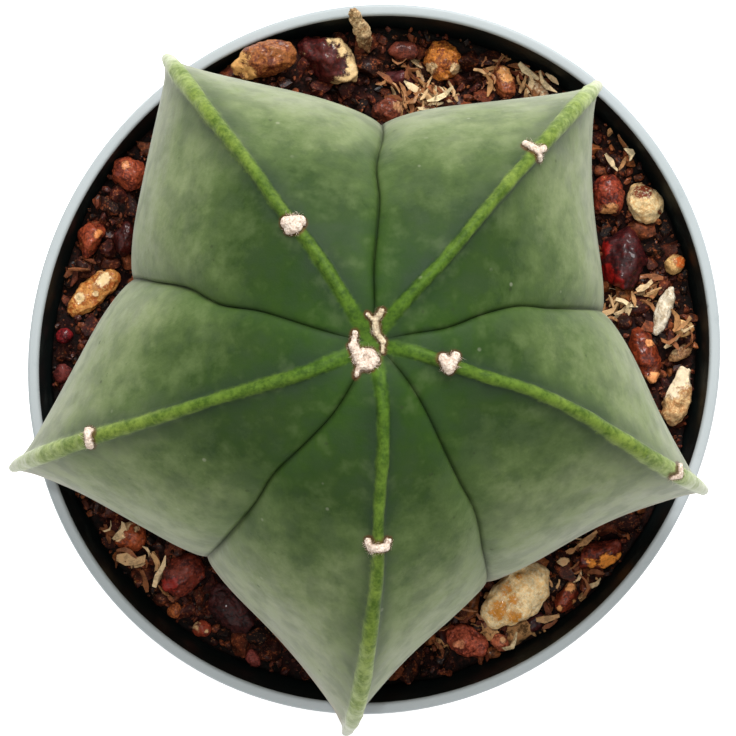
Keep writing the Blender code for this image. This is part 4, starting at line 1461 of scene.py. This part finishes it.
def note_patches(piece, patches):
    """Store how much of the accent colour each corner has, from the patches given in millimetres."""
    sides = list(zip(*(corner.co for corner in piece.data.vertices)))
    middle_x, middle_y = ((min(side) + max(side)) / 2 for side in sides[:2])
    values = []
    for corner in piece.data.vertices:
        x, y = (corner.co.x - middle_x) / MM, (corner.co.y - middle_y) / MM
        shares = (PATCH_REACH - math.hypot(x - px, y - py) / size for px, py, size in patches)
        share = max(shares, default=0.0)
        values.append(min(max(share, 0.0), 1.0))
    note(piece, "patch", values)


def raise_relief(piece, texture, strength, middle=0.5):
    """Push a surface in and out by a texture."""
    settings = {"texture": texture, "texture_coords": "LOCAL", "strength": strength, "mid_level": middle}
    apply_modifier(piece, "DISPLACE", **settings)


def grow_stone(node, look):
    """Grow a stone's fine surface on a copy of its solid."""
    piece = merged_copy(node, node + "_fine")
    size = max(piece.dimensions)
    levels = 3 if size > LARGE_STONE else 2
    apply_modifier(piece, "SUBSURF", subdivision_type="SIMPLE", levels=levels, render_levels=levels)
    apply_modifier(piece, "SMOOTH", factor=0.5, iterations=2 * levels - 2)
    rough = SMOOTH_DENTS + look.pores
    raise_relief(piece, LUMPS, min(LUMPS_MOST, LUMPS_SHARE * size))
    raise_relief(piece, DENTS, min(DENTS_MOST, DENTS_SHARE * size) * rough)
    if look.pores > PORED:
        raise_relief(piece, PORES, PORE_DEPTH * look.pores, PORE_LEVEL)
    raise_relief(piece, GRAIN, GRAIN_HEIGHT * rough)
    note_patches(piece, look.patches)
    return shade(piece)


# %% [markdown]
# A stone's finish has three colours: the base, darker or lighter blotches of a millimetre or so, and the
# accent where its patches lie. On two stones an accent patch near the top is a painted highlight. Pores are
# dark, and wet stones are smoother, so the lamps leave bright points on them.


# %% Stone finish
def scaled(colour, share):
    """Return a screen colour made darker or lighter."""
    return tuple(min(250, share * part) for part in colour)


def stone_finish(name, look):
    """Return the finish of one stone from its look."""
    finish = Finish(name)
    veins = finish.noise(1.2, 6.0, 0.75)
    stains = finish.noise(0.7, 4.0, 0.7)
    grit = finish.noise(0.26, 3.0, 0.7)
    pits = finish.cells(0.42)
    blotch = finish.fade(veins + 0.5 * (grit - 0.5), look.blotch_share + 0.12, look.blotch_share - 0.06)
    finish.colour = finish.mix(blotch, seen(*look.base), seen(*look.blotch))
    if look.patches:
        edge = finish.attribute("patch") + 3.2 * (veins - 0.5) + 1.4 * (stains - 0.5)
        rim = finish.fade(edge, 0.10, 0.45) * finish.fade(edge, 0.85, 0.5)
        finish.cover(finish.fade(edge, 0.35, 0.80), *look.accent)
        finish.cover(0.45 * rim, *scaled(look.blotch, 0.7))
    pit = finish.fade(pits, 0.42, 0.16)
    finish.cover(0.65 * look.pores * pit, *scaled(look.blotch, 0.30))
    stain_share = 0.20 + 0.60 * look.pores
    stain = finish.fade(stains, 0.50, 0.36)
    finish.cover(stain_share * stain, *scaled(look.blotch, 0.42))
    finish.cover(0.40 * finish.fade(grit, 0.54, 0.66), *scaled(look.base, 1.3))
    grain = finish.bump(grit, 0.2 + 0.7 * look.pores, 0.12)
    normal = finish.bump(veins, 0.5, 0.25, grain)
    roughness = 0.66 - 0.36 * look.wet + 0.25 * grit
    finish.set(Coat_Weight=0.35 * look.wet, Coat_Roughness=0.1, Specular_IOR_Level=0.18)
    return finish.set(Base_Color=finish.colour, Roughness=roughness, Normal=normal)


stones = []
for node in stone_names:
    look = LOOKS[node]
    stone = grow_stone(node, look)
    stone.data.materials.append(stone_finish(node, look))
    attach(stone, "root")
    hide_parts(node)
    stones.append(stone)
print("stones:", sum(triangles(stone) for stone in stones), "triangles")

# %% [markdown]
# ## Gravel, crumbs and shredded bark
#
# Between the stones the pot shows crushed lava, bark and peat in hundreds of small pieces. A few of each
# kind are modelled: a coarse ball with flat faces cut off by bisecting it, or a thin bar with torn ends.
# They are copied with a turn, a size and a tone of their own, and left out where they would lie in a
# stone, in the plant or in the pot's wall.

# %% Models of crumbs and shreds
MODEL_COUNT = 7
CRUMB_SEED = 100
CRUMB_CUT = (0.45, 0.8)
CRUMB_ROUGHNESS = 0.32
SHRED_THICKNESS = 0.10


def make_crumb(name, number, fineness, cuts):
    """Make one crushed crumb of unit size: a ball with flat faces broken off."""
    draw = random.Random(CRUMB_SEED + number)
    add = bpy.ops.mesh.primitive_ico_sphere_add
    crumb = new_primitive(add, f"{name}_{number}", subdivisions=fineness, radius=1.0)
    bpy.ops.object.mode_set(mode="EDIT")
    for _ in range(cuts):
        facing = Vector((draw.gauss(0, 1), draw.gauss(0, 1), draw.gauss(0, 1))).normalized()
        cut = facing * draw.uniform(*CRUMB_CUT)
        bpy.ops.mesh.select_all(action="SELECT")
        bpy.ops.mesh.bisect(plane_co=cut, plane_no=facing, use_fill=True, clear_outer=True)
    bpy.ops.object.mode_set(mode="OBJECT")
    for corner in crumb.data.vertices:
        shift = Vector((number, 0, 0))
        rough = noise.noise(corner.co * 1.4 + shift) + 0.5 * noise.noise(corner.co * 3.5 + shift)
        corner.co *= 1 + CRUMB_ROUGHNESS * rough
    return crumb


def make_shred(number):
    """Make one torn shred of bark, two units long along X, bent and thin at its ends."""
    shred = new_primitive(bpy.ops.mesh.primitive_cube_add, f"shred_{number}", size=2.0)
    shred.scale = (1.0, 0.17 + 0.04 * (number % 3), SHRED_THICKNESS)
    settle(shred)
    bpy.ops.object.mode_set(mode="EDIT")
    bpy.ops.mesh.select_all(action="SELECT")
    bpy.ops.mesh.subdivide(number_cuts=2)
    bpy.ops.object.mode_set(mode="OBJECT")
    for corner in shred.data.vertices:
        along = corner.co.x
        rough = noise.noise(corner.co * 3.2 + Vector((3.0 * number, 0, 0)))
        bend = 0.14 * along * along * (number % 4)
        corner.co.y = corner.co.y * (1.05 - 0.62 * along * along) + bend + 0.22 * rough
        corner.co.z = corner.co.z * (1.0 - 0.5 * abs(along)) + bend + 0.08 * rough
    return shred


rubble_models = [make_crumb("rubble", number, 3, 5) for number in range(MODEL_COUNT)]
gravel_models = [make_crumb("gravel", number + 10, 2, 4) for number in range(MODEL_COUNT)]
crumb_models = [make_crumb("crumb", number + 20, 1, 2) for number in range(MODEL_COUNT)]
shred_models = [make_shred(number) for number in range(MODEL_COUNT)]
print("triangles:", [triangles(models[0]) for models in (rubble_models, gravel_models, crumb_models)])

# %% Free places
stone_trees = [surface_tree(stone) for stone in stones]
stone_boxes = [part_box(node) for node in stone_names]
WALL_ROOM = 0.2 * MM
WALL_SHARE = 0.8
SKIN_SHARE = 0.9
STONE_SHARE = 0.35


def is_inside(tree, spot, room):
    """Return whether a spot lies inside a surface, or nearer to it than some room."""
    near, facing, _, distance = tree.find_nearest(spot)
    return distance < room or (spot - near).dot(facing) < 0


def is_free(spot, size):
    """Return whether a crumb of this size fits at a spot, clear of the wall, the plant and the stones."""
    outward = spot.xy.normalized() * inner_radius(spot.z)
    wall = squeezed(Vector((outward.x, outward.y, spot.z)))
    if spot.xy.length > wall.xy.length - WALL_ROOM - WALL_SHARE * size:
        return False
    if is_inside(body_tree, spot, SKIN_SHARE * size):
        return False
    for tree, (low, high) in zip(stone_trees, stone_boxes):
        if all(low[axis] - size < spot[axis] < high[axis] + size for axis in range(3)):
            if is_inside(tree, spot, STONE_SHARE * size):
                return False
    return True


# Each place of painted shade has its middle in millimetres, its strength and its spread in millimetres. A
# negative strength paints light.
PAINTED_SHADE_PLACES = ((-12, -27, 0.52, 8), (-29, 6, 0.22, 13), (2, 30, 0.14, 13), (18, -25, -0.12, 10))


def painted_shade(x, y):
    """Return how much painted shade lowers the litter's tones at a place. It is darkest below the left of
    the plant, in its shade, and a negative place at the bottom right paints light.
    """
    total = 0.0
    for centre_x, centre_y, strength, spread in PAINTED_SHADE_PLACES:
        total += strength * math.exp(-((x / MM - centre_x) ** 2 + (y / MM - centre_y) ** 2) / spread**2)
    return total


# %% [markdown]
# The pieces are drawn from a seeded random source, so the pot looks the same each time. The coarse rubble
# is placed first, then the gravel, and crumbs fill in between. All lie in the ring that the plant leaves
# open.


# %% Scatter gravel and crumbs
class Scatter(NamedTuple):
    """A scattering: its seed, its tries, its radii in metres, how high it lies and how far apart."""

    seed: int
    tries: int
    smallest: float
    largest: float
    lift: float
    apart: float


RUBBLE = Scatter(31, 1700, 0.95 * MM, 1.75 * MM, 0.35, 0.62)
GRAVEL = Scatter(37, 3600, 0.45 * MM, 0.95 * MM, 0.8, 0.66)
CRUMBS = Scatter(23, 4600, 0.16 * MM, 0.45 * MM, 2.2, 0.55)
OPEN_RING = (14.0 * MM, 34.0 * MM)
CELL = 2.0 * MM
LITTER_SHARP = 40


def scattered(kind, taken):
    """Return the places of a scattering's pieces, clear of the pieces that are there already."""
    draw = random.Random(kind.seed)
    placed = []
    for _ in range(kind.tries):
        size = kind.smallest + (kind.largest - kind.smallest) * draw.random() ** 2
        turn = draw.uniform(0, 2 * math.pi)
        away = math.sqrt(draw.uniform(OPEN_RING[0] ** 2, OPEN_RING[1] ** 2))
        x, y = away * math.cos(turn), away * math.sin(turn)
        spot = Vector((x, y, ground(x, y) + size * draw.uniform(-0.1, kind.lift)))
        tumble = Matrix.Rotation(draw.uniform(0, 2 * math.pi), 4, Vector((draw.random(), draw.random(), 1)))
        long, wide, high = draw.uniform(0.9, 1.5), draw.uniform(0.7, 1.0), draw.uniform(0.6, 0.9)
        shape = Matrix.Scale(size, 4) @ Matrix.Diagonal((long, wide, high, 1))
        matrix = Matrix.Translation(spot) @ tumble @ shape
        # Painted shade lowers the tone here, and painted light raises it.
        model, tone = draw.randrange(MODEL_COUNT), draw.random() * (1 - painted_shade(x, y))
        column, row = round(x / CELL), round(y / CELL)
        cells = [(column + dx, row + dy) for dx in (-1, 0, 1) for dy in (-1, 0, 1)]
        near = [one for cell in cells for one in taken.get(cell, [])]
        crowded = any((spot - other).length < kind.apart * (size + width) for other, width in near)
        if not crowded and is_free(spot, size):
            placed.append((model, matrix, tone))
            taken.setdefault((column, row), []).append((spot, size))
    return placed


taken_places = {}
rubble = copies_joined("rubble", rubble_models, scattered(RUBBLE, taken_places))
gravel = copies_joined("gravel", gravel_models, scattered(GRAVEL, taken_places))
crumbs = copies_joined("crumbs", crumb_models, scattered(CRUMBS, taken_places))
for piece in (rubble, gravel, crumbs):
    shade(piece, LITTER_SHARP)
    print(piece.name, triangles(piece), "triangles")


# %% [markdown]
# Shredded bark lies in nests, mostly behind the plant, where tan and cream shreds cross one another. Each
# nest has its own tones, from rust to cream. A few large shreds lie on top, each laid one by one.


# %% Shredded bark
class Nest(NamedTuple):
    """A nest of shreds: its place, radius and count, and its lowest and highest tone."""

    x: float
    y: float
    radius: float
    count: int
    low: float
    high: float


NESTS = (
    Nest(3.6, 26.9, 3.3, 140, 0.40, 0.92),
    Nest(6.9, 26.6, 1.8, 16, 0.70, 1.00),
    Nest(12.8, 28.9, 2.2, 40, 0.30, 0.80),
    Nest(16.3, 28.3, 2.5, 60, 0.45, 0.95),
    Nest(25.6, 20.4, 1.8, 12, 0.30, 0.95),
    Nest(26.6, 7.0, 2.2, 34, 0.50, 0.95),
    Nest(24.6, 5.6, 1.8, 16, 0.60, 0.95),
    Nest(31.0, 2.6, 1.6, 14, 0.50, 0.95),
    Nest(-25.0, -18.4, 2.4, 22, 0.45, 0.95),
    Nest(-21.8, -22.0, 2.4, 16, 0.30, 0.85),
    Nest(-28.5, 11.0, 3.0, 18, 0.15, 0.50),
    Nest(9.7, -28.0, 3.2, 26, 0.30, 0.75),
    Nest(22.6, -20.6, 3.0, 36, 0.35, 0.95),
    Nest(17.5, -25.0, 3.2, 30, 0.35, 0.80),
)
SHRED_SEED = 47
SHRED_LENGTH = (0.40 * MM, 1.25 * MM)


class Shred(NamedTuple):
    """One shred that lies on top: its place, length and width in mm, its heading and its tone."""

    x: float
    y: float
    length: float
    width: float
    heading: float
    tone: float


TOP_SHREDS = (
    Shred(-21.6, -21.4, 3.4, 0.9, 70, 0.92),
    Shred(-24.6, -20.3, 2.9, 1.3, -5, 0.80),
    Shred(-25.4, -17.6, 2.0, 1.0, 60, 0.90),
    Shred(14.1, -28.8, 2.2, 0.8, 53, 1.00),
    Shred(19.1, -20.4, 1.3, 0.9, 20, 0.80),
    Shred(21.6, -18.2, 2.4, 0.7, 35, 0.70),
    Shred(25.9, 20.8, 1.4, 0.9, 120, 1.00),
    Shred(25.5, 5.7, 2.4, 0.7, -20, 1.00),
    Shred(27.3, 7.3, 1.9, 0.7, 30, 0.90),
    Shred(6.7, 26.4, 3.0, 0.6, 30, 1.00),
    Shred(5.6, 25.6, 2.6, 0.6, 40, 0.95),
    Shred(4.0, 27.4, 2.4, 0.7, -30, 1.00),
    Shred(15.5, 29.0, 2.6, 0.7, -40, 1.00),
    Shred(17.2, 27.8, 2.8, 0.7, -50, 0.95),
)
TOP_LIFT = 1.3 * MM
TOP_TILT = 0.1
TOP_WIDTH = 3.4
TOP_THICKNESS = 2.4
SHRED_HEIGHTS = (0.2 * MM, 1.5 * MM)


def nested_shreds():
    """Return the places of all shreds."""
    draw = random.Random(SHRED_SEED)
    placed = []
    for nest in NESTS:
        for _ in range(nest.count):
            turn, away = draw.uniform(0, 2 * math.pi), nest.radius * math.sqrt(draw.random())
            x, y = (nest.x + away * math.cos(turn)) * MM, (nest.y + away * math.sin(turn)) * MM
            half = draw.uniform(*SHRED_LENGTH)
            spot = Vector((x, y, ground(x, y) + draw.uniform(*SHRED_HEIGHTS)))
            pose = Matrix.Rotation(draw.uniform(0, math.pi), 4, "Z")
            tilt, roll = draw.gauss(0, 0.35), draw.gauss(0, 0.6)
            pose = pose @ Matrix.Rotation(tilt, 4, "Y") @ Matrix.Rotation(roll, 4, "X")
            matrix = Matrix.Translation(spot) @ pose @ Matrix.Scale(half, 4)
            model, tone = draw.randrange(MODEL_COUNT), draw.uniform(nest.low, nest.high)
            ends = [matrix @ Vector((end, 0, 0)) for end in (-1, 0, 1)]
            if all(is_free(end, 0.2 * half) for end in ends):
                placed.append((model, matrix, tone))
    for number, shred in enumerate(TOP_SHREDS):
        x, y = shred.x * MM, shred.y * MM
        pose = Matrix.Rotation(math.radians(shred.heading), 4, "Z") @ Matrix.Rotation(TOP_TILT, 4, "Y")
        sides = (1, TOP_WIDTH * shred.width / shred.length, TOP_THICKNESS, 1)
        matrix = Matrix.Translation(Vector((x, y, ground(x, y) + TOP_LIFT))) @ pose
        matrix = matrix @ Matrix.Scale(shred.length * MM / 2, 4) @ Matrix.Diagonal(sides)
        placed.append((number % MODEL_COUNT, matrix, shred.tone))
    return placed


shreds = copies_joined("bark_shreds", shred_models, nested_shreds())
shade(shreds, LITTER_SHARP)
for model in rubble_models + gravel_models + crumb_models + shred_models:
    bpy.data.objects.remove(model, do_unlink=True)
print("shreds:", triangles(shreds), "triangles")

# %% Litter finishes
CRUMB_TONES = (
    (0.00, 20, 10, 8),
    (0.14, 48, 19, 14),
    (0.28, 74, 32, 20),
    (0.42, 94, 43, 26),
    (0.55, 62, 22, 17),
    (0.68, 112, 57, 32),
    (0.78, 42, 18, 14),
    (0.87, 140, 80, 42),
    (0.96, 200, 150, 98),
)
SHRED_TONES = (
    (0.00, 46, 22, 16),
    (0.30, 94, 44, 28),
    (0.55, 142, 88, 54),
    (0.75, 192, 146, 96),
    (1.00, 236, 214, 170),
)


def litter_finish(name, tones, interpolation, stain):
    """Crushed or torn pieces, each with its own tone, darker in patches of painted shade that stand for
    their dents, and pale on their grit.
    """
    finish = Finish(name)
    veins = finish.noise(0.9, 5.0, 0.75)
    grit = finish.noise(0.24, 3.0, 0.7)
    finish.colour = finish.ramp(finish.attribute("tone"), tones, interpolation)
    # Painted shade: dark patches stand for the shade in the pieces' dents. The stain share scales both this
    # painted shade and the real rust below.
    finish.cover(stain * finish.fade(veins, 0.54, 0.38), 20, 8, 6)
    rust = finish.fade(veins + 0.5 * (grit - 0.5), 0.54, 0.68)
    finish.cover(0.5 * stain * rust, 190, 98, 50)
    finish.cover(0.25 * finish.fade(grit, 0.58, 0.70), 210, 158, 108)
    normal = finish.bump(grit, 0.7, 0.15)
    finish.set(Coat_Weight=0.20 * (1 - veins), Coat_Roughness=0.12, Specular_IOR_Level=0.15)
    return finish.set(Base_Color=finish.colour, Roughness=0.40 + 0.40 * veins, Normal=normal)


crumb_material = litter_finish("crumbs", CRUMB_TONES, "CONSTANT", 0.80)
for piece in (rubble, gravel, crumbs):
    piece.data.materials.append(crumb_material)
shreds.data.materials.append(litter_finish("bark_shreds", SHRED_TONES, "LINEAR", 0.45))
for piece, slot in ((rubble, "soil"), (gravel, "soil"), (crumbs, "soil"), (shreds, "bark")):
    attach(piece, "root")
print("litter finished")
